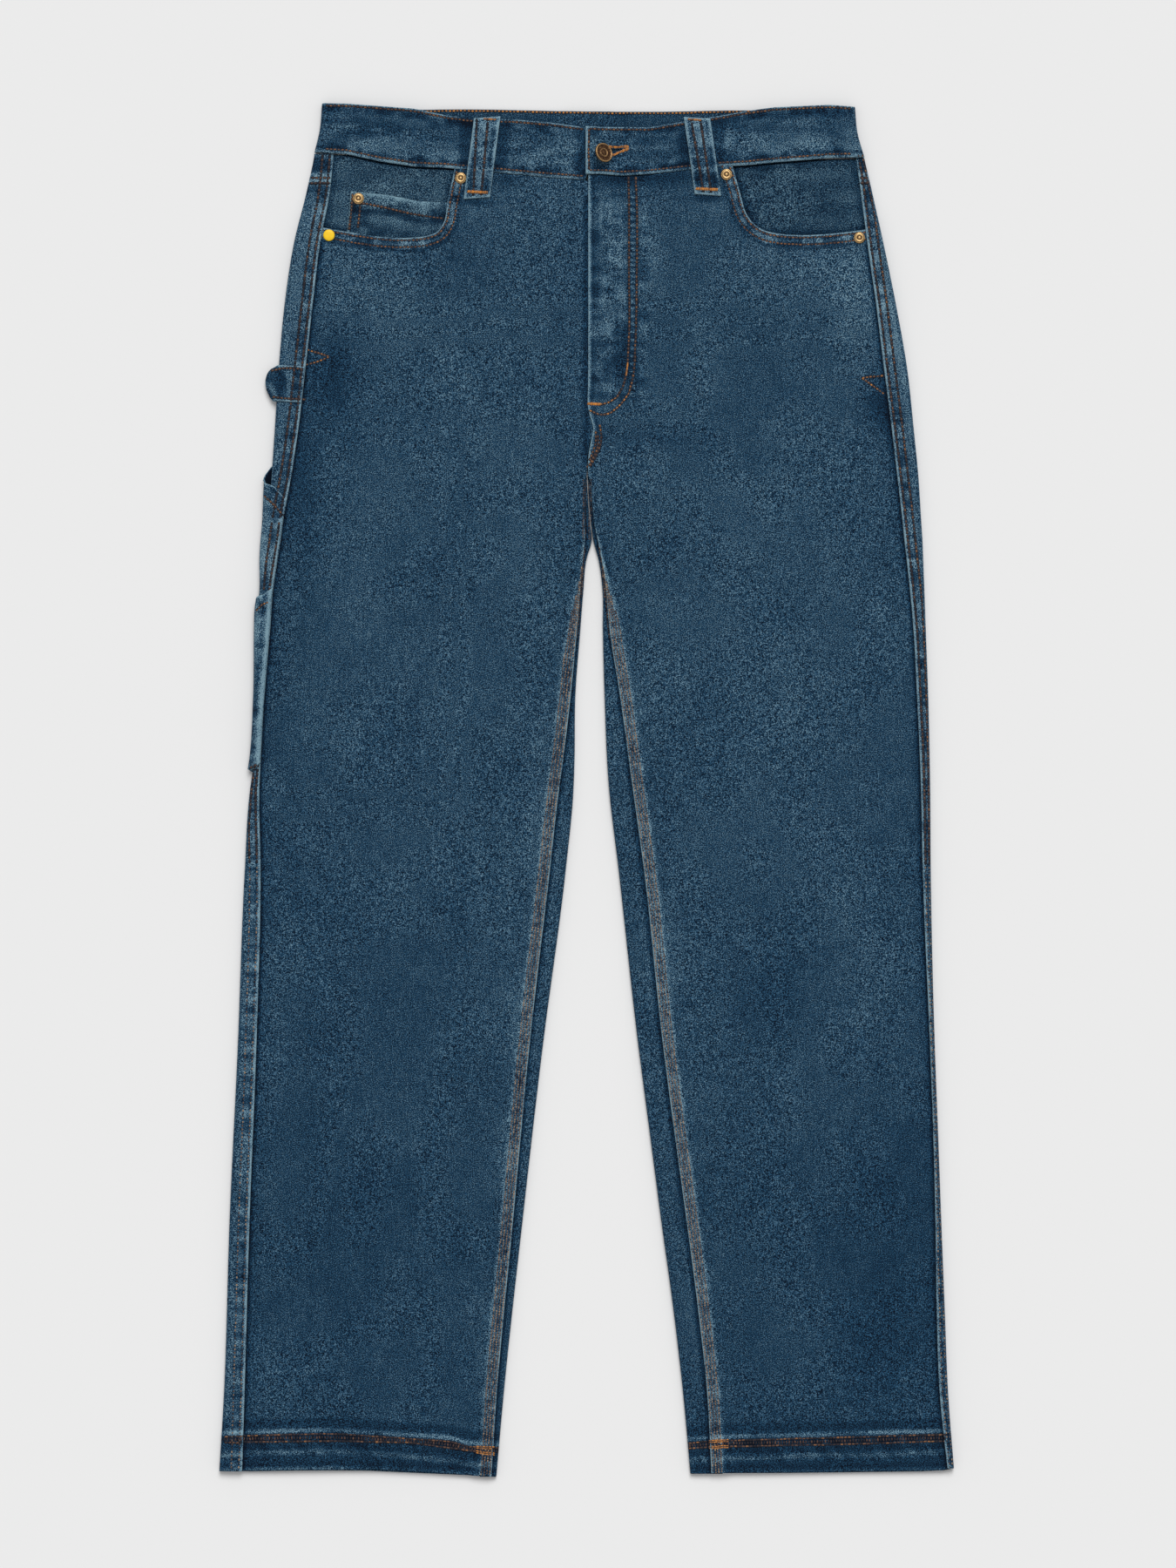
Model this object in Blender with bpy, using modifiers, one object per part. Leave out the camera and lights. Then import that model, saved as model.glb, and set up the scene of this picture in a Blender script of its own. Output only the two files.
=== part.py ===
# Carpenter pants laid flat with the front up, on a floor at z = 0.
# The waist points to +Y and the wearer's right leg lies at -X.
# Sizes are in millimetres here, and become metres where a mesh is made.
# Run it with Blender 4.5, from the text editor or in the background.

import math

import bmesh
import bpy
import numpy as np

MILLIMETRE = 0.001

# Cloth and seams
CLOTH_WALL = 1.2
SEAM_GAP = 0.3
LAYER = CLOTH_WALL + SEAM_GAP
BAND_WALL = 2.0
BAND_STEP = BAND_WALL - CLOTH_WALL  # the band's outer skin stands this far above a front panel's
LOOP_WALL = 1.5
FRONT_HEIGHT = 4.2  # outer skin of a front panel above the floor
SEAM_TONGUE = 9.0  # width of the hidden edge inside a lapped seam
LEAST_TONGUE = 0.4
FELL_FLAT = 10.0  # a front panel's raised edge over the inseam, and the slope beside it
FELL_RAMP = 8.0
FELL_STARTS = 268.0  # where the right panel starts to rise towards the crotch
FELL_FULL = 254.0

# Rivets and button
RIVET_DIAMETER = 9.0
RIVET_HEIGHT = 1.4
BUTTON_DIAMETER = 16.6
BUTTON_THICKNESS = 2.4
SHANK_DIAMETER = 4.4
SHANK_BOTTOM = 0.9  # heights along the button's own axis
CAP_BOTTOM = 6.4
RING_DEPTH = 0.5
BUTTON_TILT = math.radians(22)
BUTTON_TURN = math.radians(42)

# Waist, fly and crotch
BAND_OVERLAP = 31.0
BAND_RAMP = 25.0
FLY_FLAT = 32.0
FLY_RAMP = 15.0
FLY_UNDERLAP = 8.0
CROTCH = 251.0
CROTCH_OPENS = 277.0  # where the back seam starts to turn up between the legs
CROTCH_CLOSES = 239.0
TONGUE_STARTS = 243.0  # below here the back panel reaches under the front's inseam
TONGUE_FULL = 212.0
UNDERLAP_ENDS = 276.0
UNDERLAP_FADE = 14.0
FLY_ENDS = 310.0  # the raised fly narrows from here down to the rise seam
FLY_FADE = 28.0
LEG_GAP = 0.6

# The outline of each leg: where it folds, and where its seams lie on top
# y, outer fold, side seam, inseam, inner fold
RIGHT_LEG = [
    (545.0, -211.5, -198.0, -2.0, -0.3),
    (505.0, -215.5, -200.5, -2.0, -0.3),
    (474.0, -222.0, -203.5, -2.0, -0.3),
    (433.0, -232.0, -211.0, -2.0, -0.3),
    (384.0, -239.5, -217.0, -2.0, -0.3),
    (336.0, -245.5, -222.5, -2.0, -0.3),
    (281.0, -247.5, -229.0, -2.0, -0.3),
    (251.0, -249.5, -233.5, -2.0, -0.3),
    (212.0, -253.0, -240.5, -1.8, 2.2),
    (197.0, -254.5, -242.5, -1.8, 3.6),
    (184.0, -255.5, -244.5, -3.2, -0.2),
    (157.0, -257.5, -248.5, -5.5, -3.0),
    (129.0, -259.2, -250.5, -7.8, -5.2),
    (74.0, -260.8, -253.8, -13.0, -9.3),
    (22.0, -263.0, -256.5, -19.2, -10.0),
    (0.0, -266.8, -258.2, -22.2, -10.8),
    (-64.0, -271.0, -259.5, -29.5, -17.0),
    (-202.0, -276.5, -263.0, -45.5, -35.0),
    (-340.0, -283.0, -267.0, -58.5, -51.0),
    (-478.0, -287.5, -271.0, -71.5, -66.0),
    (-545.0, -291.5, -273.0, -76.0, -72.0),
]
LEFT_LEG = [
    (545.0, 212.5, 206.5, 2.0, 0.3),
    (505.0, 218.5, 212.0, 2.0, 0.3),
    (474.0, 225.5, 216.5, 2.0, 0.3),
    (433.0, 234.5, 221.5, 2.0, 0.3),
    (384.0, 244.5, 228.5, 2.0, 0.3),
    (336.0, 253.0, 234.5, 2.0, 0.3),
    (281.0, 259.0, 241.5, 2.0, 0.3),
    (251.0, 262.0, 245.0, 2.0, 0.3),
    (212.0, 264.5, 249.5, 5.2, 3.0),
    (197.0, 265.5, 251.0, 8.5, 5.0),
    (184.0, 266.0, 252.5, 11.0, 8.6),
    (157.0, 267.0, 255.5, 15.0, 12.2),
    (129.0, 268.0, 258.0, 17.5, 12.4),
    (74.0, 270.0, 261.0, 26.0, 13.8),
    (5.0, 271.5, 264.0, 35.5, 17.0),
    (-64.0, 272.0, 265.5, 45.0, 25.0),
    (-202.0, 275.2, 271.2, 60.0, 40.5),
    (-271.0, 277.8, 273.8, 69.0, 49.5),
    (-340.0, 280.3, 275.5, 78.5, 58.5),
    (-409.0, 283.0, 276.5, 87.5, 68.0),
    (-478.0, 285.8, 279.0, 95.0, 76.0),
    (-545.0, 291.0, 286.0, 98.5, 82.0),
]
# The overlapped edge of fly and front rise: y, x
CENTRE_FRONT = [
    (490.0, 0.4),
    (306.0, 0.4),
    (298.0, 1.6),
    (285.0, 4.8),
    (277.0, 3.2),
    (266.0, 1.2),
    (251.0, 0.4),
]

# Waistband edges: x, top, bottom
BAND_RIGHT = [
    (-216.0, 543.5, 504.5),
    (-190.5, 543.0, 503.0),
    (-164.0, 541.0, 498.0),
    (-137.5, 539.0, 494.0),
    (-111.0, 533.5, 492.0),
    (-89.5, 531.0, 490.0),
    (-56.5, 530.3, 487.0),
    (-29.5, 528.0, 484.5),
    (-1.5, 524.2, 482.5),
    (0.3, 524.0, 487.8),
    (31.0, 523.0, 489.0),
]
BAND_LEFT = [
    (-1.5, 525.0, 487.0),
    (11.0, 524.2, 487.0),
    (27.0, 524.0, 485.5),
    (49.0, 524.0, 487.0),
    (83.5, 530.0, 491.0),
    (103.5, 533.0, 493.0),
    (125.5, 537.0, 495.5),
    (147.5, 540.0, 498.0),
    (191.0, 542.0, 501.5),
    (220.0, 540.0, 500.8),
]
BAND_BACK = [
    (-216.0, 543.5, 504.5),
    (-129.0, 538.5, 501.9),
    (-78.5, 538.8, 500.4),
    (0.0, 537.0, 498.0),
    (59.5, 537.0, 498.8),
    (125.5, 538.0, 499.6),
    (220.0, 540.0, 500.8),
]
# The band's folded ends: share of its width from the top, right fold, left fold
BAND_FOLDS = [
    (0.0, -209.8, 212.0),
    (0.5, -211.4, 214.0),
    (1.0, -215.8, 219.6),
]

BAND_ROWS = [0.0, 0.4, 0.6, 1.0]
HOLE_SPAN = (7.0, 33.0)  # the buttonhole, from under the button to its far end
HOLE_START_SHARE = 0.54  # its middle and half width, as shares of the band's width
HOLE_END_SHARE = 0.43
HOLE_OPENING = 0.09
HOLE_LEAST = 0.012
RIGHT_RUN = [31.0, 16.0, 0.3, -1.5, -30.0, -60.0, -92.0, -125.0, -158.0, -190.0]
LEFT_RUN = [190.0, 158.0, 125.0, 92.0, 60.0, HOLE_SPAN[1] + 3.0, HOLE_SPAN[1], 20.0, HOLE_SPAN[0], -1.2]
HOLE_CELLS = [(1, 1), (1, 2)]  # the two cells between the band's middle rows, from its left end

# Front pocket mouths, from the waistband round to the side seam: x, y
MOUTH_RIGHT = [
    (-103.0, 505.0),
    (-105.5, 489.0),
    (-110.5, 466.0),
    (-114.0, 448.0),
    (-119.0, 441.5),
    (-127.0, 438.5),
    (-139.5, 437.0),
    (-155.0, 437.0),
    (-186.0, 441.0),
    (-225.0, 448.0),
]
MOUTH_LEFT = [
    (111.5, 505.0),
    (115.5, 492.0),
    (122.0, 469.0),
    (125.5, 457.0),
    (131.0, 449.0),
    (138.5, 443.5),
    (153.0, 440.0),
    (169.5, 439.0),
    (191.5, 440.0),
    (232.0, 445.0),
]
CUT_MARGIN = 20.0
FACING_TOP = 504.0
FACING_LOW = 425.0
FACING_STRIP_LOW = 446.0  # above the mouth the lapped edge lies lower, on the facing
FACING_STRIP_HIGH = 460.0
FACING_REACH = 12.0
COIN_POCKET_LOW = 430.0
COIN_POCKET_SPREAD = 4.0  # its outer edge leans out by this much towards its foot
# Coin pocket: share across, x, top edge
COIN_POCKET = [
    (0.0, -187.0, 474.0),
    (0.35, -158.0, 471.0),
    (0.65, -133.0, 466.0),
    (1.0, -102.0, 464.5),
]

# Belt loops on the front: name, low x, low y, high x, high y
FRONT_LOOPS = [
    ("belt_loop_front_right", -87.2, 468.0, -79.0, 532.0),
    ("belt_loop_front_left", 95.5, 470.5, 86.8, 531.5),
]
FRONT_LOOP_WIDTH = 21.0
LOOP_BOW = 1.2
LOOP_LEAN = 1.5
# Belt loops under the back of the waistband: name, x
BACK_LOOPS = [
    ("belt_loop_back_right", -105.0),
    ("belt_loop_back_centre", 0.0),
    ("belt_loop_back_left", 105.0),
]
BACK_LOOP_WIDTH = 18.0
BACK_LOOP_SPACING = 105.0

# Pieces that wrap from the side seam round the fold of the right leg: name, level, reach from the
# fold, then top at the seam, its slope, its limit, low at the seam, its slope, its limit, and puff
WRAPPED = [
    ("hammer_loop", 1, 50.0, 335.0, 0.05, 336.0, 306.5, 0.05, 308.0, 6.0),
    ("tool_pocket_upper", 1, 114.0, 229.0, 1.03, 260.0, 22.0, -0.45, 14.0, 0.0),
    ("tool_pocket_lower", 2, 114.0, 160.0, -0.75, 143.0, 21.4, -0.45, 13.4, 0.5),
]
# How far the tool pockets stand off the fold: y, distance
PUFFS = [
    (12.0, 0.8),
    (35.0, 0.3),
    (100.0, 0.2),
    (125.0, 0.8),
    (143.0, 1.2),
    (157.0, 0.4),
    (184.0, 2.3),
    (212.0, 2.7),
    (240.0, 4.1),
    (262.0, 3.8),
]
TOP_SLANT_SPAN = 40.0  # the slant of an edge fades out over this height
LOW_SLANT_SPAN = 10.0
FOLD_LENGTH = 7.5  # length of the cloth round the fold
LEAST_ROW = 8.0
LIFT_MARGIN = 3.0
LIFT_RAMP = 14.0

# Rivets: name, x, y, how far the cloth under it lies from the front panel's skin
RIVETS = [
    ("rivet_pocket_right_upper", -100.0, 484.0, 0.0),
    ("rivet_pocket_right_lower", -204.2, 438.8, 0.0),
    ("rivet_coin_pocket", -181.0, 468.0, -LAYER),
    ("rivet_pocket_left_upper", 110.2, 486.8, 0.0),
    ("rivet_pocket_left_lower", 215.3, 436.8, 0.0),
]
BUTTON_PLACE = (13.4, 505.0)

# Soft hollows and ridges of the upper layer: x, y, direction in degrees, length, width, height
FOLDS = [
    (-120.0, 175.0, 25.0, 90.0, 26.0, 0.5),
    (-80.0, 260.0, 62.0, 70.0, 24.0, -0.4),
    (110.0, 230.0, -55.0, 80.0, 26.0, 0.5),
    (60.0, 150.0, -20.0, 60.0, 24.0, -0.4),
    (-150.0, -90.0, 12.0, 85.0, 32.0, 0.5),
    (-185.0, -330.0, 80.0, 120.0, 30.0, -0.4),
    (160.0, -60.0, -14.0, 90.0, 32.0, 0.5),
    (185.0, -300.0, -78.0, 120.0, 30.0, -0.4),
    (-190.0, -450.0, 5.0, 70.0, 30.0, 0.4),
    (190.0, -440.0, -6.0, 70.0, 30.0, 0.4),
]

# The upper layer lies one layer higher over the hips, and over the tool pockets under the right leg
HIP_RISE_STARTS = 340.0
HIP_RISE_SPAN = 55.0
POCKET_RISE_X = (-310.0, -125.0)
POCKET_RISE_Y = (8.0, 266.0)
POCKET_RISE_RAMP = 42.0

# Rows of the panels below the yoke, from the seat to the hem
PANEL_ROWS = [
    480, 460, 446, 430, 408, 384, 354, 338.5, 322, 303.5, 288, 277, 263, 257, 251, 245, 239,
    232, 225, 212, 197, 184, 177, 163, 145, 118, 90, 60, 32, 10, -4, -30, -76, -122, -168,
    -214, -260, -306, -352, -398, -444, -486, -527, -540,
]
FRONT_TOP_ROWS = [505.0, 492.0]
NEAR_FOLD = 3.0
HEM_STARTS = -480.0
HEM_SPAN = 60.0
BACK_HEM_DROP = 1.5  # the back's hem shows below the front's
HEM_DROP = 1.5
HEM_WAVE = 2.0
HEM_WAVE_WIDTH = 45.0
YOKE_SHARES = [0.0, 0.35, 0.7, 1.0]
YOKE_SIDE = 480.0
BAND_SIDE = 505.0  # height of the waistband's lower edge at the side folds
YOKE_DROP = 50.0
YOKE_SPAN = 220.0
EDGE_FADES_AT = 400.0

DENIM = (0.030, 0.082, 0.150, 1.0)
FADED_DENIM = (0.060, 0.125, 0.195, 1.0)
BRASS = (0.42, 0.29, 0.14, 1.0)
YELLOW_BRASS = (0.62, 0.47, 0.10, 1.0)


# Tables and soft steps


def through(table, column):
    """A smooth curve through one column of a table whose rows are sorted by their first column."""
    rows = sorted(table)
    keys = np.array([row[0] for row in rows], float)
    values = np.array([row[column] for row in rows], float)
    slopes = np.gradient(values, keys)

    def at(key):
        key = np.clip(np.asarray(key, float), keys[0], keys[-1])
        low = np.clip(np.searchsorted(keys, key) - 1, 0, len(keys) - 2)
        span = keys[low + 1] - keys[low]
        share = (key - keys[low]) / span
        start = (1 + 2 * share) * (1 - share) ** 2 * values[low]
        start = start + share * (1 - share) ** 2 * span * slopes[low]
        end = share**2 * (3 - 2 * share) * values[low + 1]
        end = end + share**2 * (share - 1) * span * slopes[low + 1]
        return start + end

    return at


def straight(table, column):
    """Straight runs through one column of a table whose rows are sorted by their first column."""
    rows = sorted(table)
    keys = [row[0] for row in rows]
    values = [row[column] for row in rows]
    return lambda key: np.interp(key, keys, values)


def soft_step(share):
    share = np.clip(share, 0.0, 1.0)
    return share * share * (3 - 2 * share)


def plateau(value, low, high, ramp):
    """One from low to high, falling to nothing over the ramp outside."""
    return soft_step((value - low) / ramp + 1) * soft_step((high - value) / ramp + 1)


class Leg:
    """One leg's seams and folds. Its sign is -1 for the wearer's right leg, at -X."""

    def __init__(self, sign, table):
        self.sign = sign
        self.outer_fold = through(table, 1)
        self.table_seam = through(table, 2)
        self.table_inseam = through(table, 3)
        self.inner_fold = through(table, 4)

    def fold_radius(self, y):
        near = self.outer_fold(y) - self.sign * NEAR_FOLD
        return (strip_height(self, near, y) - lift(self, 0.0, y, 0)) / 2

    def side_seam(self, y):
        """The back panel's lapped edge on top, never nearer to the fold than the fold is round."""
        most = self.outer_fold(y) - self.sign * (self.fold_radius(y) + LEAST_TONGUE)
        return self.sign * np.minimum(self.sign * self.table_seam(y), self.sign * most)

    def inseam(self, y):
        radius = top_height(self.inner_fold(y), y) / 2
        least = self.inner_fold(y) + self.sign * (radius + SEAM_GAP)
        return self.sign * np.maximum(self.sign * self.table_inseam(y), self.sign * least)

    def hidden_edge(self, y):
        """The front's outer edge inside the lapped side seam."""
        width = self.sign * (self.outer_fold(y) - self.side_seam(y))
        tongue = np.minimum(SEAM_TONGUE, width - self.fold_radius(y))
        return self.side_seam(y) + self.sign * np.maximum(tongue, LEAST_TONGUE)


# Heights of the layers


def top_height(x, y):
    """Outer skin of a front panel: its rest height, higher over hidden layers, with soft folds."""
    over_hips = soft_step((y - HIP_RISE_STARTS) / HIP_RISE_SPAN)
    over_pockets = plateau(x, *POCKET_RISE_X, POCKET_RISE_RAMP)
    over_pockets = over_pockets * plateau(y, *POCKET_RISE_Y, POCKET_RISE_RAMP)
    height = FRONT_HEIGHT + LAYER * over_hips + LAYER * over_pockets
    for centre_x, centre_y, turn, length, width, rise in FOLDS:
        cosine = math.cos(math.radians(turn))
        sine = math.sin(math.radians(turn))
        along = (x - centre_x) * cosine + (y - centre_y) * sine
        across = (y - centre_y) * cosine - (x - centre_x) * sine
        height = height + rise * np.exp(-((along / length) ** 2) - (across / width) ** 2)
    return height


def strip_height(leg, x, y):
    """Outer skin of the back panel where it comes round to the front and laps over the side seam."""
    over_facing = soft_step((y - FACING_STRIP_LOW) / (FACING_STRIP_HIGH - FACING_STRIP_LOW))
    return top_height(x, y) + LAYER * (1 - 2 * over_facing)


def lift(leg, from_fold, y, level):
    """How far a layer of the back clears the floor, for the wrapped pieces that lie under it."""
    height = np.zeros(np.broadcast(from_fold, y).shape)
    if leg.sign > 0:
        return height
    for name, piece_level, reach, top, top_slope, top_limit, low, low_slope, low_limit, puff in WRAPPED:
        if piece_level > level:
            highest = max(top, top_limit) + LIFT_MARGIN
            lowest = min(low, low_limit) - LIFT_MARGIN
            over = 1 - soft_step((from_fold - reach - LIFT_MARGIN) / LIFT_RAMP)
            height = height + LAYER * over * plateau(y, lowest, highest, LIFT_RAMP)
    return height


def left_band_raise(x):
    """How far the waistband's left end is raised over its right one."""
    return (BAND_WALL + SEAM_GAP) * (1 - soft_step((x - BAND_OVERLAP - 2.0) / BAND_RAMP))


def front_raise(leg, inward, y):
    """How far a front panel rises at its inner edge, over the fly and the felled inseam."""
    amount = LAYER * (1 - soft_step((inward - fell_flat(leg, y)) / fell_ramp(leg, y)))
    if leg.sign < 0:
        amount = amount * soft_step((FELL_STARTS - y) / (FELL_STARTS - FELL_FULL))
    return amount


def fly_share(leg, y):
    if leg.sign < 0:
        return np.zeros(np.shape(y))
    return soft_step((y - FLY_ENDS + FLY_FADE) / FLY_FADE)


def fell_flat(leg, y):
    return FELL_FLAT + (FLY_FLAT - FELL_FLAT) * fly_share(leg, y)


def fell_ramp(leg, y):
    return FELL_RAMP + (FLY_RAMP - FELL_RAMP) * fly_share(leg, y)


# Meshes


def material(name, colour, roughness, metallic=0.0):
    made = bpy.data.materials.new(name)
    made.use_nodes = True
    shader = made.node_tree.nodes["Principled BSDF"]
    shader.inputs["Base Color"].default_value = colour
    shader.inputs["Roughness"].default_value = roughness
    shader.inputs["Metallic"].default_value = metallic
    made.diffuse_color = colour
    return made


def cloth(name, points, wall, colour=DENIM, leave_out=()):
    """A wall of cloth: a grid on its outer skin, thickened inward. Cells in leave_out are open."""
    rows, columns = points.shape[:2]
    faces = []
    for row in range(rows - 1):
        for column in range(columns - 1):
            if (row, column) not in leave_out:
                corner = row * columns + column
                faces.append((corner, corner + columns, corner + columns + 1, corner + 1))
    mesh = bpy.data.meshes.new(name)
    mesh.from_pydata((points.reshape(-1, 3) * MILLIMETRE).tolist(), [], faces)
    mesh.validate()
    mesh.shade_smooth()
    thing = bpy.data.objects.new(name, mesh)
    parts.objects.link(thing)
    mesh.materials.append(material(name, colour, 0.9))
    thickness = thing.modifiers.new("Wall", "SOLIDIFY")
    thickness.thickness = wall * MILLIMETRE
    thickness.offset = -1.0
    thickness.use_even_offset = True
    return thing


def facing_up(points):
    """The grid with its columns turned round where its faces would look down."""
    across = points[0, 1] - points[0, 0]
    down = points[1, 0] - points[0, 0]
    return points if np.cross(down, across)[2] > 0 else points[:, ::-1]


def prism(name, outline, low, high):
    """A closed upright prism, used as a cutter."""
    mesh = bpy.data.meshes.new(name)
    form = bmesh.new()
    corners = [form.verts.new((x * MILLIMETRE, y * MILLIMETRE, low * MILLIMETRE)) for x, y in outline]
    base = form.faces.new(corners)
    grown = bmesh.ops.extrude_face_region(form, geom=[base])
    upper = [item for item in grown["geom"] if isinstance(item, bmesh.types.BMVert)]
    bmesh.ops.translate(form, verts=upper, vec=(0, 0, (high - low) * MILLIMETRE))
    bmesh.ops.recalc_face_normals(form, faces=form.faces)
    form.to_mesh(mesh)
    form.free()
    cutter = bpy.data.objects.new(name, mesh)
    cutter.display_type = "WIRE"
    cutter.hide_render = True
    cutters.objects.link(cutter)
    return cutter


def cut(thing, cutter):
    change = thing.modifiers.new("Cut", "BOOLEAN")
    change.operation = "DIFFERENCE"
    change.object = cutter


def turned(name, profile, place, colour, roughness, segments=20):
    """A turned piece: a profile of radius and height, spun round its own Z axis."""
    mesh = bpy.data.meshes.new(name)
    rows = [(radius * MILLIMETRE, 0.0, height * MILLIMETRE) for radius, height in profile]
    mesh.from_pydata(rows, [(row, row + 1) for row in range(len(rows) - 1)], [])
    thing = bpy.data.objects.new(name, mesh)
    thing.location = [value * MILLIMETRE for value in place]
    spin = thing.modifiers.new("Spin", "SCREW")
    spin.steps = segments
    spin.render_steps = segments
    spin.use_merge_vertices = True
    spin.merge_threshold = 0.00001
    mesh.materials.append(material(name, colour, roughness, 1.0))
    parts.objects.link(thing)
    return thing


# Paths round the folds


def outer_path(leg, y, share, level, puff=0.0):
    """A point of the outer fold at a height between its top (share 0) and its bottom (share 1)."""
    radius = leg.fold_radius(y)
    centre_x = leg.outer_fold(y) - leg.sign * radius
    high = strip_height(leg, centre_x, y) + LAYER * level
    low = lift(leg, radius, y, level)
    turn = math.pi * share
    reach = radius + LAYER * level + puff
    x = centre_x + leg.sign * reach * np.sin(turn)
    z = (high + low) / 2 + (high - low) / 2 * np.cos(turn)
    return x, z


def inner_end(leg, y):
    """How the back panel ends inside: turn of its inner fold, tongue beyond it, radius, centre."""
    turn = math.pi / 2 * soft_step((CROTCH_OPENS - y) / (CROTCH_OPENS - CROTCH))
    turn = turn + math.pi / 2 * soft_step((CROTCH - y) / (CROTCH - CROTCH_CLOSES))
    centre_guess = leg.inner_fold(y)
    radius = top_height(centre_guess, y) / 2
    fold_x = np.where(y > CROTCH, leg.sign * LEG_GAP / 2, leg.inner_fold(y))
    centre_x = fold_x + leg.sign * radius * np.sin(np.minimum(turn, math.pi / 2))
    closed = soft_step((TONGUE_STARTS - y) / (TONGUE_STARTS - TONGUE_FULL))
    tongue = (np.abs(leg.inseam(y) - centre_x) + SEAM_TONGUE) * closed
    return turn, tongue, radius, centre_x


def inner_path(leg, y, from_end):
    """A point of the back panel at a distance, along the cloth, from its inner edge."""
    turn, tongue, radius, centre_x = inner_end(leg, y)
    arc = radius * turn
    on_tongue = from_end < tongue
    on_arc = (from_end >= tongue) & (from_end < tongue + arc)
    angle = np.where(on_arc, turn - (from_end - tongue) / radius, 0.0)
    angle = np.where(on_tongue, turn, angle)
    x = centre_x - leg.sign * radius * np.sin(angle)
    z = radius * (1 - np.cos(angle))
    past = np.where(on_tongue, tongue - from_end, 0.0)
    x = x - leg.sign * past * np.cos(angle)
    z = z + past * np.sin(angle)
    flat = np.maximum(from_end - tongue - arc, 0.0)
    x = x + leg.sign * flat
    on_top = top_height(x, y)
    z = np.where(on_tongue & (turn > 0.99 * math.pi), on_top, z)
    return x, z


TONGUE_STEPS = 2
ARC_STEPS = 4
LEAST_STEP = 0.8
UNDER_STEPS = [52.0, 66.0, 118.0, 134.0]  # distances of the underside's columns from the outer fold
MIDDLE_STEP = 175.0
OUTER_SHARES = [0.0, 0.25, 0.5, 0.75, 1.0]


def inner_steps(leg, y):
    """Distances of the inner columns from the back panel's inner edge."""
    turn, tongue, radius, centre_x = inner_end(leg, y)
    on_tongue = np.maximum(tongue / TONGUE_STEPS, LEAST_STEP)
    on_arc = np.maximum(radius * turn / ARC_STEPS, LEAST_STEP)
    steps = [0.0 * y]
    for index in range(TONGUE_STEPS + ARC_STEPS):
        steps.append(steps[-1] + (on_tongue if index < TONGUE_STEPS else on_arc))
    return steps


def back_columns(leg, y_columns):
    """Points across the back panel, from the side seam on top, round both folds, to its inner edge."""
    columns = []
    y = y_columns[0]
    seam = leg.side_seam(y)
    columns.append((seam, strip_height(leg, seam, y)))
    for share, y in zip(OUTER_SHARES, y_columns[1:]):
        columns.append(outer_path(leg, y, share, 0))
    under = y_columns[1 + len(OUTER_SHARES) :]
    for step, y in zip(UNDER_STEPS, under):
        x = leg.outer_fold(y) - leg.sign * step
        columns.append((x, lift(leg, step, y, 0)))
    y = under[len(UNDER_STEPS)]
    outer = leg.outer_fold(y) - leg.sign * UNDER_STEPS[-1]
    inner = inner_path(leg, y, inner_steps(leg, y)[-1])[0]
    columns.append(((outer + inner) / 2, 0.0 * y))
    inner_columns = under[len(UNDER_STEPS) + 1 :]
    count = len(inner_columns)
    for index, y in enumerate(inner_columns):
        columns.append(inner_path(leg, y, inner_steps(leg, y)[count - 1 - index]))
    return columns


INNER_COLUMNS = 1 + TONGUE_STEPS + ARC_STEPS
BACK_COLUMNS = 1 + len(OUTER_SHARES) + len(UNDER_STEPS) + 1 + INNER_COLUMNS


def back_points(leg, y_grid):
    points = np.zeros(y_grid.shape + (3,))
    for index, (x, z) in enumerate(back_columns(leg, list(y_grid.T))):
        points[:, index, 0] = x
        points[:, index, 1] = y_grid[:, index]
        points[:, index, 2] = z
    return points if leg.sign > 0 else points[:, ::-1]


# The edges that the rows follow


def yoke_line(leg):
    """Height of the yoke seam at each column: level round the side, then down to the centre back."""
    side_columns = 1 + len(OUTER_SHARES)
    line = [YOKE_SIDE] * side_columns
    steps = UNDER_STEPS + [MIDDLE_STEP] + [YOKE_SPAN] * INNER_COLUMNS
    line += [YOKE_SIDE - YOKE_DROP * step / YOKE_SPAN for step in steps]
    return np.array(line)


def with_hem(nominal, x):
    """The lowest rows bend to follow the hem, which dips towards the inseam and the side."""
    share = soft_step((HEM_STARTS - nominal) / HEM_SPAN)
    return nominal - (HEM_DROP + HEM_WAVE * np.cos(x / HEM_WAVE_WIDTH)) * share


def band_low(leg, x):
    """Upper edge of what is sewn to the front of the waistband."""
    shown = [row for row in BAND_RIGHT if row[0] < 0.0] if leg.sign < 0 else BAND_LEFT
    return straight(shown, 2)(x) - SEAM_GAP


def front_x(leg, y):
    """The front panel's columns: hidden seam edge, side seam, middle, raised inner edge."""
    seam = leg.side_seam(y)
    centre = through(CENTRE_FRONT, 1)(y)
    if leg.sign < 0:
        underlap = soft_step((y - UNDERLAP_ENDS) / UNDERLAP_FADE)
        centre = centre + FLY_UNDERLAP * underlap - 2 * SEAM_GAP * (1 - underlap)
    turned_in = soft_step((CROTCH + 1 - y) / (CROTCH - CROTCH_CLOSES))
    inner = centre * (1 - turned_in) + leg.inseam(y) * turned_in
    flat = inner + leg.sign * fell_flat(leg, y)
    ramp_end = flat + leg.sign * fell_ramp(leg, y)
    columns = [leg.hidden_edge(y), seam]
    columns += [seam * (1 - share) + ramp_end * share for share in (0.2, 0.4, 0.6, 0.8)]
    return columns + [ramp_end, flat, inner]


def top_fade(nominal, start):
    """How far a row still follows the edge above it: fully at the start, not at all lower down."""
    return min(max((nominal - EDGE_FADES_AT) / (start - EDGE_FADES_AT), 0.0), 1.0)


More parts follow.
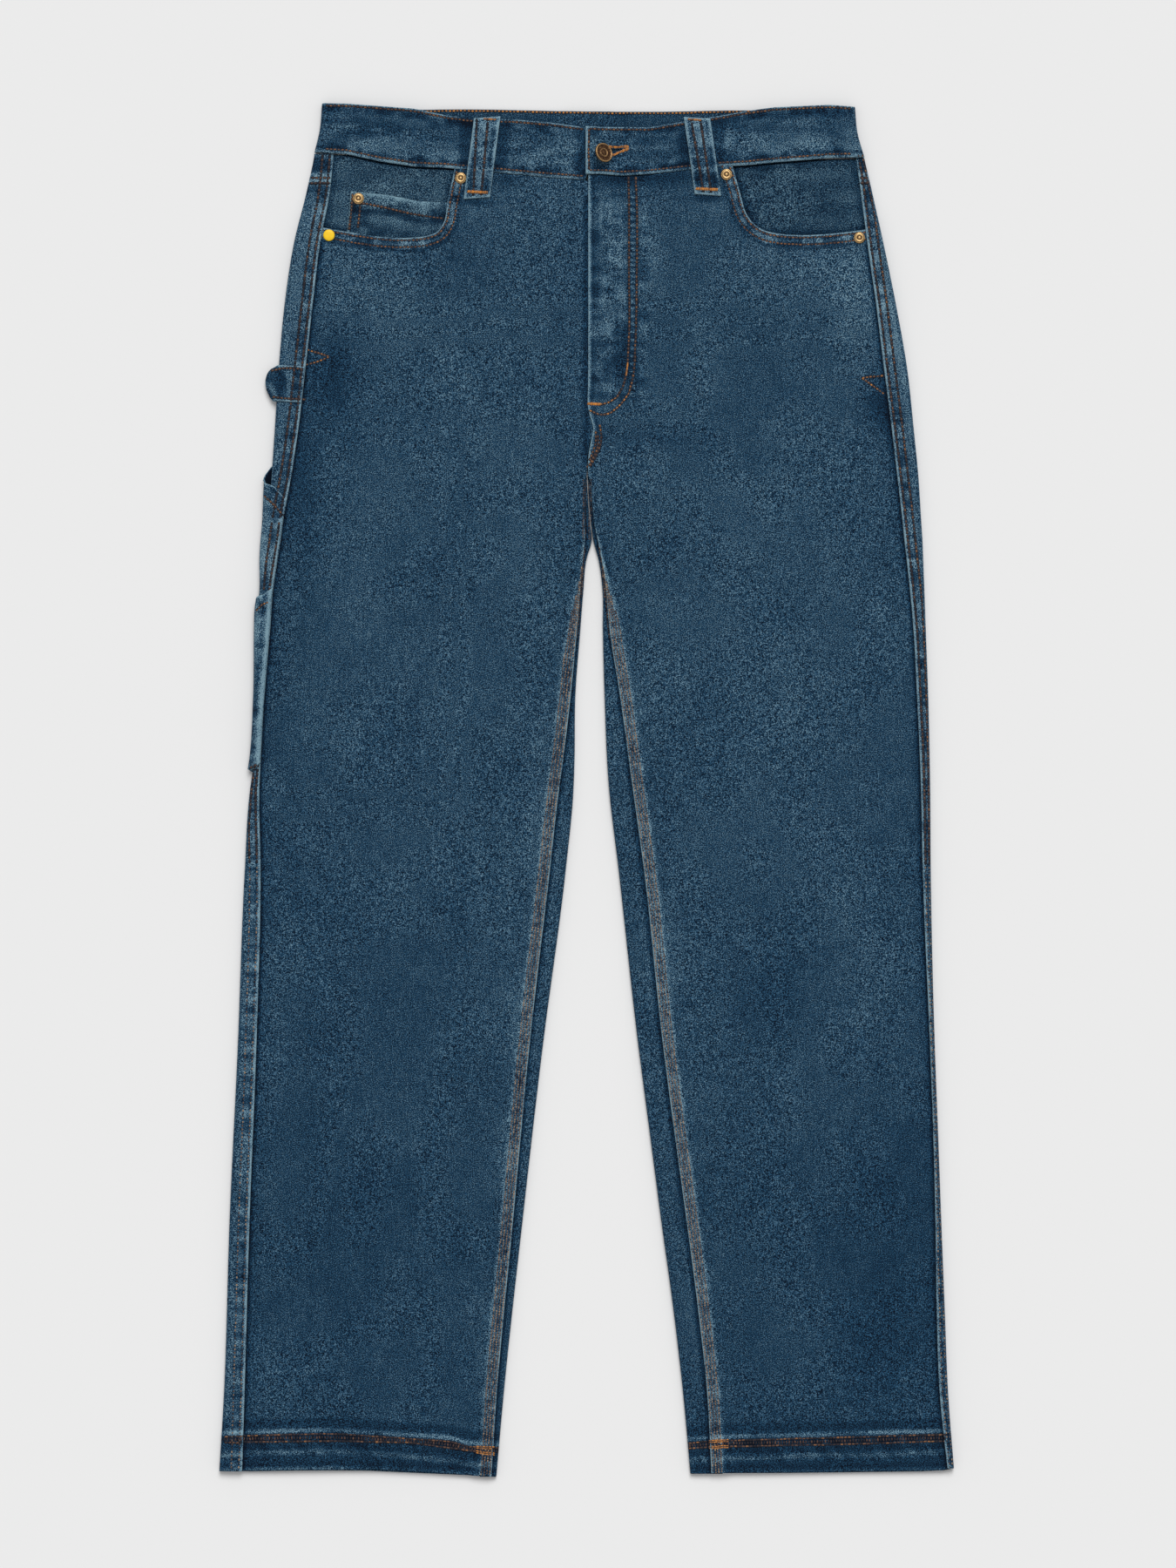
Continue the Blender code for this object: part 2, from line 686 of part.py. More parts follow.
def front_panel(leg, name, mouth):
    start = FRONT_TOP_ROWS[0]
    points = []
    for nominal in FRONT_TOP_ROWS + PANEL_ROWS:
        columns = front_x(leg, np.float64(nominal))
        line = []
        for x in columns:
            y = with_hem(nominal + (band_low(leg, x) - start) * top_fade(nominal, start), x)
            inward = leg.sign * (x - columns[-1])
            line.append((x, y, top_height(x, y) + front_raise(leg, inward, nominal)))
        points.append(line)
    panel = cloth(name, facing_up(np.array(points)), CLOTH_WALL)
    past_seam = mouth[-1][0] + leg.sign * CUT_MARGIN
    above_band = mouth[0][1] + CUT_MARGIN
    corners = [(past_seam, mouth[-1][1]), (past_seam, above_band), (mouth[0][0], above_band)]
    cut(panel, prism(name + "_mouth", mouth + corners, -CUT_MARGIN, CUT_MARGIN))


def back_panel(leg, name):
    line = yoke_line(leg)
    rows = []
    for nominal in PANEL_ROWS:
        y = nominal + (line - YOKE_SIDE) * top_fade(nominal, YOKE_SIDE)
        if nominal == PANEL_ROWS[0]:
            y = y - SEAM_GAP / 2
        below_front = BACK_HEM_DROP * soft_step((HEM_STARTS - nominal) / HEM_SPAN)
        rows.append(with_hem(y, leg.sign * MIDDLE_STEP) - below_front)
    cloth(name, back_points(leg, np.array(rows)), CLOTH_WALL)


def back_yoke(leg, name):
    low = yoke_line(leg) + SEAM_GAP / 2
    fold = float(leg.outer_fold(BAND_SIDE))
    places = [fold] * len(OUTER_SHARES)
    places += [fold - leg.sign * step for step in UNDER_STEPS + [MIDDLE_STEP]]
    places += [0.0] * INNER_COLUMNS
    start = straight(BAND_BACK, 2)(np.array([0.0] + places)) - SEAM_GAP
    start[0] = band_low(leg, leg.side_seam(BAND_SIDE)) - SEAM_GAP
    start[1 : 1 + len(OUTER_SHARES)] -= 2 * SEAM_GAP
    rows = [start * (1 - share) + low * share for share in YOKE_SHARES]
    cloth(name, back_points(leg, np.array(rows)), CLOTH_WALL)


# Waistband


def waistband():
    """One strip: from its right end under the button, round both sides, to its left end on top."""
    tables = {"right": BAND_RIGHT, "left": BAND_LEFT, "back": BAND_BACK}
    tops = {run: straight(table, 1) for run, table in tables.items()}
    lows = {run: straight(table, 2) for run, table in tables.items()}

    def at(run, x, share):
        return float(tops[run](x) * (1 - share) + lows[run](x) * share)

    def upper(x, y):
        return float(top_height(x, y)) + BAND_STEP

    def folded(run, fold, turns):
        columns = []
        for turn in turns:
            column = []
            for share in BAND_ROWS:
                edge = float(fold(share))
                y = at(run, edge, share)
                radius = upper(edge, y) / 2
                x = edge - math.copysign(radius, edge) * (1 - math.sin(math.pi * turn))
                column.append((x, y, radius * (1 + math.cos(math.pi * turn))))
            columns.append(column)
        return columns

    columns = []
    for x in RIGHT_RUN:
        places = [(x, at("right", x, share)) for share in BAND_ROWS]
        columns.append([(x, y, upper(x, y)) for x, y in places])
    columns += folded("right", through(BAND_FOLDS, 1), OUTER_SHARES)
    for x in back_run():
        columns.append([(x, at("back", x, share), back_lift(x)) for share in BAND_ROWS])
    columns += folded("left", through(BAND_FOLDS, 2), OUTER_SHARES[::-1])
    for x in LEFT_RUN:
        places = [(x, at("left", x, hole_share(x, share))) for share in BAND_ROWS]
        columns.append([(x, y, upper(x, y) + float(left_band_raise(x))) for x, y in places])
    points = np.array(columns, float).transpose(1, 0, 2)[:, ::-1]
    cloth("waistband", points, BAND_WALL, leave_out=HOLE_CELLS)


def back_run():
    """The band's columns along its back, closer together at the belt loops."""
    run = [-185.0, -155.0]
    for name, place in BACK_LOOPS:
        edge = BACK_LOOP_WIDTH / 2 + 1.0
        run += [place - edge - LIFT_RAMP, place - edge, place + edge, place + edge + LIFT_RAMP]
        run += [place + BACK_LOOP_SPACING / 2]
    return run + [185.0]


def hole_share(x, share):
    """Rows of the band drawn together towards the far end of the buttonhole."""
    low, high = HOLE_SPAN
    if share in (0.0, 1.0) or x > high + 1:
        return share
    along = min(max((x - low) / (high - low), 0.0), 1.0)
    centre = HOLE_START_SHARE + (HOLE_END_SHARE - HOLE_START_SHARE) * along
    half_width = HOLE_OPENING * (1 - along) + HOLE_LEAST
    return centre + math.copysign(half_width, share - 0.5)


def back_lift(x):
    """How far the back of the waistband clears the floor over its belt loops."""
    height = 0.0
    for name, place in BACK_LOOPS:
        edge = BACK_LOOP_WIDTH / 2 + 1.0
        height += (LOOP_WALL + SEAM_GAP) * float(plateau(x, place - edge, place + edge, LIFT_RAMP))
    return height


# Pieces that lie on the panels


def pocket_facing(leg, name, mouth):
    """The cloth behind a pocket mouth, from the side seam to just inside the mouth."""
    inner = mouth[1][0] - leg.sign * FACING_REACH
    rows = []
    for share in (0.0, 0.12, 0.3, 0.5, 0.75, 1.0):
        nominal = FACING_TOP * (1 - share) + FACING_LOW * share
        inside_seam = leg.side_seam(nominal) - leg.sign * 2.0
        columns = [leg.hidden_edge(nominal), inside_seam]
        columns += [inside_seam * (1 - across) + inner * across for across in (0.3, 0.65, 1.0)]
        line = []
        for index, x in enumerate(columns):
            beside_seam = index < 2
            top = band_low(leg, x) - (1.0 if beside_seam else 0.0)
            y = top * (1 - share) + FACING_LOW * share
            below = LAYER if share == 0.0 and not beside_seam else 2 * LAYER
            line.append((x, y, top_height(x, y) - below))
        rows.append(line)
    cloth(name, facing_up(np.array(rows, float)), CLOTH_WALL, FADED_DENIM)


def coin_pocket():
    rows = []
    for share in (0.0, 0.35, 0.7, 1.0):
        line = []
        for across, top_x, top in COIN_POCKET:
            x = top_x - COIN_POCKET_SPREAD * share * (1 - across)
            y = top * (1 - share) + COIN_POCKET_LOW * share
            line.append((x, y, top_height(x, y) - LAYER))
        rows.append(line)
    cloth("coin_pocket", facing_up(np.array(rows, float)), CLOTH_WALL)


def front_loops():
    """Belt loops over the front of the waistband: sewn down at both ends, and clear of it between."""
    for name, low_x, low_y, high_x, high_y in FRONT_LOOPS:
        leg = right_leg if low_x < 0 else left_leg
        edge = float(band_low(leg, (low_x + high_x) / 2))
        rows = []
        for share in (0.0, 0.12, 0.25, 0.4, 0.6, 0.8, 0.92, 1.0):
            line = []
            for across in (-0.5, 0.0, 0.5):
                x = low_x + (high_x - low_x) * share + FRONT_LOOP_WIDTH * across
                y = low_y + (high_y - low_y) * share - LOOP_LEAN * across * leg.sign
                on_band = float(soft_step((y - edge + 9.0) / 7.0))
                bow = LOOP_BOW * math.sin(math.pi * share)
                z = top_height(x, y) + BAND_STEP * on_band
                line.append((x, y, z + SEAM_GAP + LOOP_WALL + bow))
            rows.append(line)
        cloth(name, facing_up(np.array(rows, float)), LOOP_WALL)


def back_loops():
    """Belt loops under the back of the waistband, flat on the floor."""
    for name, place in BACK_LOOPS:
        top = straight(BAND_BACK, 1)(place) - 1.0
        low = straight(BAND_BACK, 2)(place) + 1.0
        rows = []
        for share in (0.0, 0.5, 1.0):
            y = top * (1 - share) + low * share
            rows.append([(place + BACK_LOOP_WIDTH * across, y, 0.0) for across in (-0.5, 0.0, 0.5)])
        points = facing_up(np.array(rows, float))[:, ::-1]
        cloth(name, points, LOOP_WALL)


def wrapped_pieces():
    """Hammer loop and tool pockets: from the side seam, over the outer fold, to the underside."""
    leg = right_leg
    puff_at = through(PUFFS, 1)
    for name, level, reach, top, top_slope, top_limit, low, low_slope, low_limit, puff in WRAPPED:
        start = strip_width(leg, top)
        travel = [0.0] + [start + FOLD_LENGTH * turn for turn in OUTER_SHARES] + [reach * 0.5, reach]
        upper_span = min(TOP_SLANT_SPAN, (top - low) / 2)
        between = [row for row in PANEL_ROWS if low + LEAST_ROW < row < top - LEAST_ROW]
        nominals = [top] + between + [low]
        rows = []
        for nominal in nominals:
            line = []
            for column, distance in enumerate(travel):
                to_top = limited(top_slope * distance, top_limit - top)
                to_low = limited(low_slope * distance, low_limit - low)
                y = nominal + to_top * soft_step((nominal - top + upper_span) / upper_span)
                y = np.float64(y + to_low * soft_step((low + LOW_SLANT_SPAN - nominal) / LOW_SLANT_SPAN))
                stand_off = puff if name == "hammer_loop" else puff + float(puff_at(y))
                if column == 0:
                    x = leg.side_seam(y) + leg.sign * LEAST_TONGUE
                    z = strip_height(leg, x, y) + LAYER * level
                elif column <= len(OUTER_SHARES):
                    x, z = outer_path(leg, y, OUTER_SHARES[column - 1], level, stand_off)
                else:
                    x = leg.outer_fold(y) - leg.sign * distance
                    z = lift(leg, distance, y, level)
                line.append((float(x), float(y), float(z)))
            rows.append(line)
        cloth(name, np.array(rows)[:, ::-1], CLOTH_WALL)


def strip_width(leg, y):
    return float(leg.sign * (leg.outer_fold(y) - leg.side_seam(y)) - leg.fold_radius(y))


def limited(value, limit):
    return min(value, limit) if limit > 0 else max(value, limit)


def rivets():
    radius = RIVET_DIAMETER / 2
    profile = [
        (0.0, RIVET_HEIGHT),
        (radius * 0.35, RIVET_HEIGHT),
        (radius * 0.75, RIVET_HEIGHT * 0.82),
        (radius, RIVET_HEIGHT * 0.35),
        (radius, 0.0),
        (0.0, 0.0),
    ]
    for name, x, y, below in RIVETS:
        colour = YELLOW_BRASS if name == "rivet_pocket_right_lower" else BRASS
        z = float(top_height(x, y)) + below + SEAM_GAP
        turned(name, profile, (x, y, z), colour, 0.4)


def button():
    """A tack button: its shank comes up through the buttonhole and its cap leans over the band."""
    x, y = BUTTON_PLACE
    seat = float(top_height(x, y)) + BAND_STEP + SEAM_GAP
    radius = BUTTON_DIAMETER / 2
    neck = SHANK_DIAMETER / 2
    cap_top = CAP_BOTTOM + BUTTON_THICKNESS
    profile = [
        (0.0, cap_top - RING_DEPTH),
        (radius * 0.62, cap_top - RING_DEPTH),
        (radius * 0.74, cap_top),
        (radius * 0.9, cap_top - 0.2),
        (radius, CAP_BOTTOM + BUTTON_THICKNESS * 0.5),
        (radius * 0.93, CAP_BOTTOM + 0.1),
        (neck, CAP_BOTTOM),
        (neck, SHANK_BOTTOM),
        (0.0, SHANK_BOTTOM),
    ]
    thing = turned("button", profile, (x, y, seat), BRASS, 0.4, 28)
    thing.rotation_euler = (0.0, BUTTON_TILT, BUTTON_TURN)


# The scene starts empty, and the pieces go in one collection, the cutters in another

for thing in list(bpy.data.objects):
    bpy.data.objects.remove(thing, do_unlink=True)

parts = bpy.data.collections.new("carpenter_pants")
bpy.context.scene.collection.children.link(parts)
cutters = bpy.data.collections.new("cutters")
bpy.context.scene.collection.children.link(cutters)

right_leg = Leg(-1, RIGHT_LEG)
left_leg = Leg(1, LEFT_LEG)
front_panel(right_leg, "front_panel_right", MOUTH_RIGHT)
front_panel(left_leg, "front_panel_left", MOUTH_LEFT)
back_panel(right_leg, "back_panel_right")
back_panel(left_leg, "back_panel_left")
back_yoke(right_leg, "back_yoke_right")
back_yoke(left_leg, "back_yoke_left")
waistband()
pocket_facing(right_leg, "pocket_facing_right", MOUTH_RIGHT)
pocket_facing(left_leg, "pocket_facing_left", MOUTH_LEFT)
coin_pocket()
front_loops()
back_loops()
wrapped_pieces()
rivets()
button()
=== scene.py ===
# Carpenter pants in washed stretch denim, laid flat on a pale floor with the front up.
# Lengths are in millimetres until a mesh is made.
# The waist points to +Y, and the wearer's right leg is at -X.
import math

import bpy
import numpy as np
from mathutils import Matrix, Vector
from mathutils.bvhtree import BVHTree


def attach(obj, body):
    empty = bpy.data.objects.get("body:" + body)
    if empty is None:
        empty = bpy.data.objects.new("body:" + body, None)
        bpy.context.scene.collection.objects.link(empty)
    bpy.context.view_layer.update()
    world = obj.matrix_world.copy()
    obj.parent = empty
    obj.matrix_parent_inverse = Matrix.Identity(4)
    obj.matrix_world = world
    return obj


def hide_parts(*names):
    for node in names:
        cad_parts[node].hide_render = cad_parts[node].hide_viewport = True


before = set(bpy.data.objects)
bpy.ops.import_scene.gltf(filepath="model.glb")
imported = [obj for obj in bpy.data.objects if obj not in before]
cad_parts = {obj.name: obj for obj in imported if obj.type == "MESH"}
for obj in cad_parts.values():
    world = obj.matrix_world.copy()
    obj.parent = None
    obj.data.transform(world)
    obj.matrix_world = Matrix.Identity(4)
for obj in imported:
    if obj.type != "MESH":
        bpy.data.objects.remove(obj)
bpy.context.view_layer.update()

millimetre = 0.001

# Camera, light and floor

studio = {
    "imageHeight": 1242.0,  # height of the picture at the garment
    "aimX": 0.7,
    "aimY": 4.8,
    "lens": 120.0,
    "sensor": 36.0,
    "floorColour": (0.80, 0.80, 0.80),
    "worldStrength": 0.52,
    "sunStrength": 2.07,
    "sunTilt": 38.0,  # degrees from straight down, from the waist's side
    "sunTurn": -8.0,
    "sunSpread": 34.0,
    "floorReach": 8.0,  # metres to each side
    "floorDrop": 0.0004,  # metres below the garment
}


def setStudio():
    scene = bpy.context.scene
    scene.view_settings.view_transform = "Standard"
    scene.view_settings.look = "None"
    camera = bpy.data.cameras.new("cameraAbove")
    camera.lens = studio["lens"]
    camera.sensor_width = studio["sensor"]
    distance = studio["imageHeight"] * studio["lens"] / studio["sensor"] * millimetre
    camera.clip_end = distance * 4
    holder = bpy.data.objects.new("cameraAbove", camera)
    holder.location = (studio["aimX"] * millimetre, studio["aimY"] * millimetre, distance)
    scene.collection.objects.link(holder)
    scene.camera = holder

    world = bpy.data.worlds.new("softRoom")
    world.use_nodes = True
    glow = world.node_tree.nodes["Background"]
    glow.inputs["Color"].default_value = (1.0, 1.0, 1.0, 1.0)
    glow.inputs["Strength"].default_value = studio["worldStrength"]
    scene.world = world

    sun = bpy.data.lights.new("softboxAtWaist", "SUN")
    sun.energy = studio["sunStrength"]
    sun.angle = math.radians(studio["sunSpread"])
    lamp = bpy.data.objects.new("softboxAtWaist", sun)
    lamp.rotation_euler = (-math.radians(studio["sunTilt"]), 0.0, math.radians(studio["sunTurn"]))
    scene.collection.objects.link(lamp)

    reach, drop = studio["floorReach"], studio["floorDrop"]
    corners = [(x * reach, y * reach, -drop) for x, y in ((-1, -1), (1, -1), (1, 1), (-1, 1))]
    mesh = bpy.data.meshes.new("paleFloor")
    mesh.from_pydata(corners, [], [(0, 1, 2, 3)])
    floor = bpy.data.objects.new("paleFloor", mesh)
    paint = bpy.data.materials.new("palePaper")
    paint.use_nodes = True
    shader = paint.node_tree.nodes["Principled BSDF"]
    shader.inputs["Base Color"].default_value = (*studio["floorColour"], 1.0)
    shader.inputs["Roughness"].default_value = 1.0
    shader.inputs["Specular IOR Level"].default_value = 0.0
    mesh.materials.append(paint)
    scene.collection.objects.link(floor)
    print("studio ready")


setStudio()

# Curves through tables, soft steps and noise


def through(table, column):
    # Cubic pieces between the rows of a table, with slopes taken from the neighbouring rows
    rows = sorted(table)
    keys = np.array([row[0] for row in rows], float)
    values = np.array([row[column] for row in rows], float)
    slopes = np.gradient(values, keys)

    def at(key):
        key = np.clip(np.asarray(key, float), keys[0], keys[-1])
        low = np.clip(np.searchsorted(keys, key) - 1, 0, len(keys) - 2)
        span = keys[low + 1] - keys[low]
        share = (key - keys[low]) / span
        rest = 1 - share
        start = (1 + 2 * share) * rest**2 * values[low] + share * rest**2 * span * slopes[low]
        end = share**2 * (3 - 2 * share) * values[low + 1] - share**2 * rest * span * slopes[low + 1]
        return start + end

    return at


def straight(table, column):
    # Straight lines between the rows of a table
    rows = sorted(table)
    return lambda key: np.interp(key, [row[0] for row in rows], [row[column] for row in rows])


def softStep(share):
    # From nothing to one with level ends: three times the square less twice the cube
    share = np.clip(share, 0.0, 1.0)
    return share * share * (3 - 2 * share)


def plateau(value, low, high, ramp):
    # One between low and high, falling softly to nothing over the ramp outside
    return softStep((value - low) / ramp + 1) * softStep((high - value) / ramp + 1)


def bell(value, centre, width):
    # e to the power of minus the square of the distance from the centre over the width
    return np.exp(-(((value - centre) / width) ** 2))


def softNoise(x, y, sizeX, sizeY, seed):
    # Value noise: seeded random numbers on a lattice, blended by soft steps between its corners
    count, shiftX, shiftY = 97, 41.3, 37.9
    lattice = np.random.default_rng(seed).uniform(-1, 1, (count, count))
    gridX = np.asarray(x, float) / sizeX + shiftX
    gridY = np.asarray(y, float) / sizeY + shiftY
    cellX = np.floor(gridX).astype(int)
    cellY = np.floor(gridY).astype(int)
    shareX = softStep(gridX - cellX)
    shareY = softStep(gridY - cellY)

    def row(line):
        low, high = lattice[cellX % count, line % count], lattice[(cellX + 1) % count, line % count]
        return low * (1 - shareX) + high * shareX

    return row(cellY) * (1 - shareY) + row(cellY + 1) * shareY


def alongNoise(along, size, seed):
    # Noise that changes only along a line
    return softNoise(along, 0 * along, size, 60.0, seed)


def distances(path):
    # The distance along a path from its start to each of its points
    return np.concatenate([[0.0], np.cumsum(np.linalg.norm(np.diff(path, axis=0), axis=1))])


def smoothPath(table, step=1.0):
    # A curve through points, by the distance along them, resampled at even steps
    points = np.array(table, float)
    along = distances(points)
    rows = [(a, *p) for a, p in zip(along, points)]
    stops = np.linspace(0.0, along[-1], max(2, int(round(along[-1] / step)) + 1))
    return np.stack([through(rows, 1 + axis)(stops) for axis in range(points.shape[1])], -1)


def evenly(path, pitch):
    # Points at even distances along a path, with the whole number of steps that fits best
    along = distances(path)
    stops = np.linspace(0.0, along[-1], max(2, int(round(along[-1] / pitch)) + 1))
    return np.stack([np.interp(stops, along, path[:, axis]) for axis in range(path.shape[1])], -1)


def leftward(path):
    # Unit directions to the left of a path, in the plane
    tangent = np.gradient(path[:, :2], axis=0)
    tangent /= np.linalg.norm(tangent, axis=1, keepdims=True)
    return np.stack([-tangent[:, 1], tangent[:, 0]], -1)


def offsetPath(path, distance):
    # The path moved to its left by a distance
    return path[:, :2] + distance * leftward(path)


# The garment's outline, levels and seams, as its solids have them

cloth = {
    "wall": 1.2,
    "gap": 0.3,
    "bandWall": 2.0,
    "loopWall": 1.5,
    "frontHeight": 4.2,
    "seamTongue": 9.0,
    "leastTongue": 0.4,
    "fellFlat": 10.0,
    "fellRamp": 8.0,
    "fellGrows": [(205.0, 105.0), (190.0, 65.0)],
    "fellStarts": 268.0,
    "fellFull": 254.0,
    "bandOverlap": 31.0,
    "bandRamp": 25.0,
    "flyFlat": 32.0,
    "flyRamp": 15.0,
    "flyUnderlap": 8.0,
    "crotch": 251.0,
    "crotchOpens": 277.0,
    "crotchCloses": 239.0,
    "tongueStarts": 243.0,
    "tongueFull": 212.0,
    "underlapEnds": 276.0,
    "underlapFade": 14.0,
    "flyEnds": 310.0,
    "flyFade": 28.0,
    "legGap": 0.6,
    "nearFold": 3.0,
    "hipRise": (340.0, 55.0),
    "pocketRiseX": (-310.0, -125.0),
    "pocketRiseY": (8.0, 266.0),
    "pocketRiseRamp": 42.0,
    "facingStrip": (446.0, 460.0),
    "hemLevel": -540.0,
    "hemStarts": -480.0,
    "hemSpan": 60.0,
    "backHemDrop": (1.0, 2.0),
    "yokeSide": 480.0,
    "yokeDrop": 50.0,
    "yokeSpan": 220.0,
    "bandSide": 505.0,
    "edgeFadesAt": 400.0,
}
layer = cloth["wall"] + cloth["gap"]
bandStep = cloth["bandWall"] - cloth["wall"]

# Each leg's folds and seams on top: y, outer fold, side seam, inseam, inner fold
rightLegTable = [
    (545.0, -211.5, -198.0, -2.0, -0.3),
    (505.0, -215.5, -200.5, -2.0, -0.3),
    (474.0, -222.0, -203.5, -2.0, -0.3),
    (433.0, -232.0, -211.0, -2.0, -0.3),
    (384.0, -239.5, -217.0, -2.0, -0.3),
    (336.0, -243.9, -222.5, -2.0, -0.3),
    (281.0, -247.5, -229.0, -2.0, -0.3),
    (251.0, -249.5, -233.5, -2.0, -0.3),
    (212.0, -253.0, -240.5, -1.8, 2.2),
    (197.0, -254.5, -242.5, -1.8, 3.6),
    (184.0, -255.5, -244.5, -3.2, -0.2),
    (157.0, -257.5, -248.5, -5.5, -3.0),
    (129.0, -259.2, -250.5, -7.8, -5.2),
    (74.0, -260.8, -255.2, -13.0, -9.3),
    (22.0, -263.6, -258.2, -19.2, -10.0),
    (0.0, -266.8, -259.2, -22.2, -10.8),
    (-64.0, -271.0, -258.3, -29.5, -17.0),
    (-202.0, -276.5, -261.6, -45.5, -35.0),
    (-340.0, -283.0, -267.0, -58.5, -51.0),
    (-478.0, -287.5, -271.0, -71.5, -66.0),
    (-545.0, -291.5, -273.0, -76.0, -72.0),
]
leftLegTable = [
    (545.0, 212.5, 206.5, 2.0, 0.3),
    (505.0, 218.5, 212.0, 2.0, 0.3),
    (474.0, 225.5, 216.5, 2.0, 0.3),
    (433.0, 234.5, 221.5, 2.0, 0.3),
    (384.0, 244.5, 228.5, 2.0, 0.3),
    (336.0, 253.0, 234.5, 2.0, 0.3),
    (281.0, 259.0, 241.5, 2.0, 0.3),
    (251.0, 262.0, 245.0, 2.0, 0.3),
    (212.0, 264.5, 249.5, 5.2, 3.0),
    (197.0, 265.5, 251.0, 8.5, 5.0),
    (184.0, 266.0, 252.5, 11.0, 8.6),
    (157.0, 267.0, 255.5, 15.0, 12.2),
    (129.0, 268.0, 258.0, 17.5, 12.4),
    (74.0, 270.0, 261.0, 26.0, 13.8),
    (5.0, 271.5, 264.0, 35.5, 17.0),
    (-64.0, 272.0, 265.5, 45.0, 25.0),
    (-202.0, 275.2, 271.2, 60.0, 40.5),
    (-271.0, 277.8, 273.8, 69.0, 49.5),
    (-340.0, 280.3, 275.5, 78.5, 58.5),
    (-409.0, 283.0, 276.5, 87.5, 68.0),
    (-478.0, 285.8, 279.0, 95.0, 76.0),
    (-545.0, 291.0, 286.0, 98.5, 82.0),
]
# The overlapped edge of fly and front rise: y, x
centreFront = [
    (490.0, 0.9), (420.0, 0.9), (350.0, 0.9), (318.0, 0.7), (306.0, 0.4), (298.0, 1.6),
    (285.0, 4.8), (277.0, 3.2), (266.0, 1.2), (251.0, 0.4),
]
# Waistband edges: x, top, bottom
bandRight = [
    (-216.0, 543.5, 504.5), (-190.5, 543.0, 503.0), (-164.0, 541.0, 497.2), (-137.5, 539.0, 493.2),
    (-111.0, 533.5, 492.0), (-89.5, 531.0, 490.0), (-56.5, 530.3, 487.0), (-29.5, 528.0, 484.5),
    (-1.5, 524.2, 482.5), (0.3, 524.0, 487.8), (31.0, 523.0, 489.0),
]
bandLeft = [
    (-1.5, 525.0, 487.0), (11.0, 524.2, 487.0), (27.0, 524.0, 485.5), (49.0, 524.0, 487.0),
    (83.5, 530.0, 491.0), (103.5, 533.0, 493.0), (125.5, 537.0, 494.0), (147.5, 540.0, 496.3),
    (191.0, 542.0, 499.8), (220.0, 540.0, 500.4),
]
bandBack = [
    (-216.0, 543.5, 504.5), (-129.0, 538.5, 501.9), (-78.5, 538.8, 500.4), (0.0, 537.0, 498.0),
    (59.5, 537.0, 498.8), (125.5, 538.0, 499.6), (220.0, 540.0, 500.8),
]
# Lower edge of the hems: x, y
hemEdge = [
    (-290.8, -538.9), (-228.0, -537.9), (-165.0, -537.6), (-128.0, -539.6), (-90.4, -542.4),
    (-72.0, -543.4), (82.0, -541.0), (107.6, -540.3), (200.0, -539.3), (281.9, -538.3),
    (290.8, -536.6),
]
# Folded ends of the band: share of its width from the top, right fold, left fold
bandFolds = [(0.0, -209.8, 212.0), (0.5, -211.4, 214.0), (1.0, -215.8, 219.6)]
# Front pocket mouths, from the waistband round to the side seam: x, y
mouthRight = [
    (-103.0, 505.0), (-105.5, 489.0), (-110.5, 466.0), (-114.0, 448.0), (-119.0, 441.5),
    (-127.0, 438.5), (-139.5, 437.0), (-155.0, 437.0), (-186.0, 441.0), (-225.0, 448.0),
]
mouthLeft = [
    (111.5, 505.0), (115.5, 492.0), (122.0, 469.0), (125.5, 457.0), (131.0, 449.0), (138.5, 443.5),
    (153.0, 440.0), (169.5, 439.0), (191.5, 440.0), (232.0, 445.0),
]
# Pieces that wrap the right leg's fold. Away from the side seam their top and low edges move by a
# slope, up to a limit. Reach is how far they go under the leg, gape how far the mouth opens at the fold.
wrappedPieces = [
    {
        "name": "hammer_loop",
        "level": 1,
        "reach": 50.0,
        "top": 335.0,
        "topSlope": 0.05,
        "topLimit": 336.0,
        "low": 306.5,
        "lowSlope": 0.05,
        "lowLimit": 308.0,
        "puff": 0.0,
        "gape": 0.0,
        "flat": (0.11, 0.031),
        "seed": 400,
    },
    {
        "name": "tool_pocket_upper",
        "level": 1,
        "reach": 114.0,
        "top": 229.0,
        "topSlope": 1.03,
        "topLimit": 260.0,
        "low": 22.0,
        "lowSlope": -0.45,
        "lowLimit": 14.0,
        "puff": 0.0,
        "gape": 9.5,
        "flat": (0.145, 0.245),
        "seed": 410,
    },
    {
        "name": "tool_pocket_lower",
        "level": 2,
        "reach": 114.0,
        "top": 160.0,
        "topSlope": -0.75,
        "topLimit": 143.0,
        "low": 21.4,
        "lowSlope": -0.45,
        "lowLimit": 13.4,
        "puff": 0.5,
        "gape": 0.0,
        "flat": (0.145, 0.145),
        "seed": 420,
    },
]
# How far the tool pockets stand off the fold: y, distance
puffTable = [
    (12.0, 0.8), (35.0, 0.3), (100.0, 0.2), (125.0, 0.8), (143.0, 1.2), (157.0, 0.4), (184.0, 2.3),
    (212.0, 2.7), (240.0, 4.1), (262.0, 3.8),
]
# How far the hammer loop bulges past the fold: y, distance
bulgeTable = [
    (306.5, 0.6), (308.0, 1.6), (310.7, 3.9), (316.9, 7.2), (323.0, 8.5), (327.6, 7.9),
    (330.7, 6.9), (333.3, 4.4), (334.5, 2.0), (336.0, 0.0),
]
wrap = {
    "strip": [0.0, 0.06, 0.14, 0.24, 0.36, 0.48, 0.60, 0.74, 0.88],  # columns on top
    "foldTurns": 12,
    "rowStep": 2.2,
    "edgeRows": [0.0, 0.4, 0.9, 1.6, 2.6, 4.2, 6.4],  # finer rows beside both edges
    "topSlant": 40.0,
    "lowSlant": 10.0,
    "foldLength": 7.5,
    "liftMargin": 3.0,
    "liftRamp": 14.0,
}
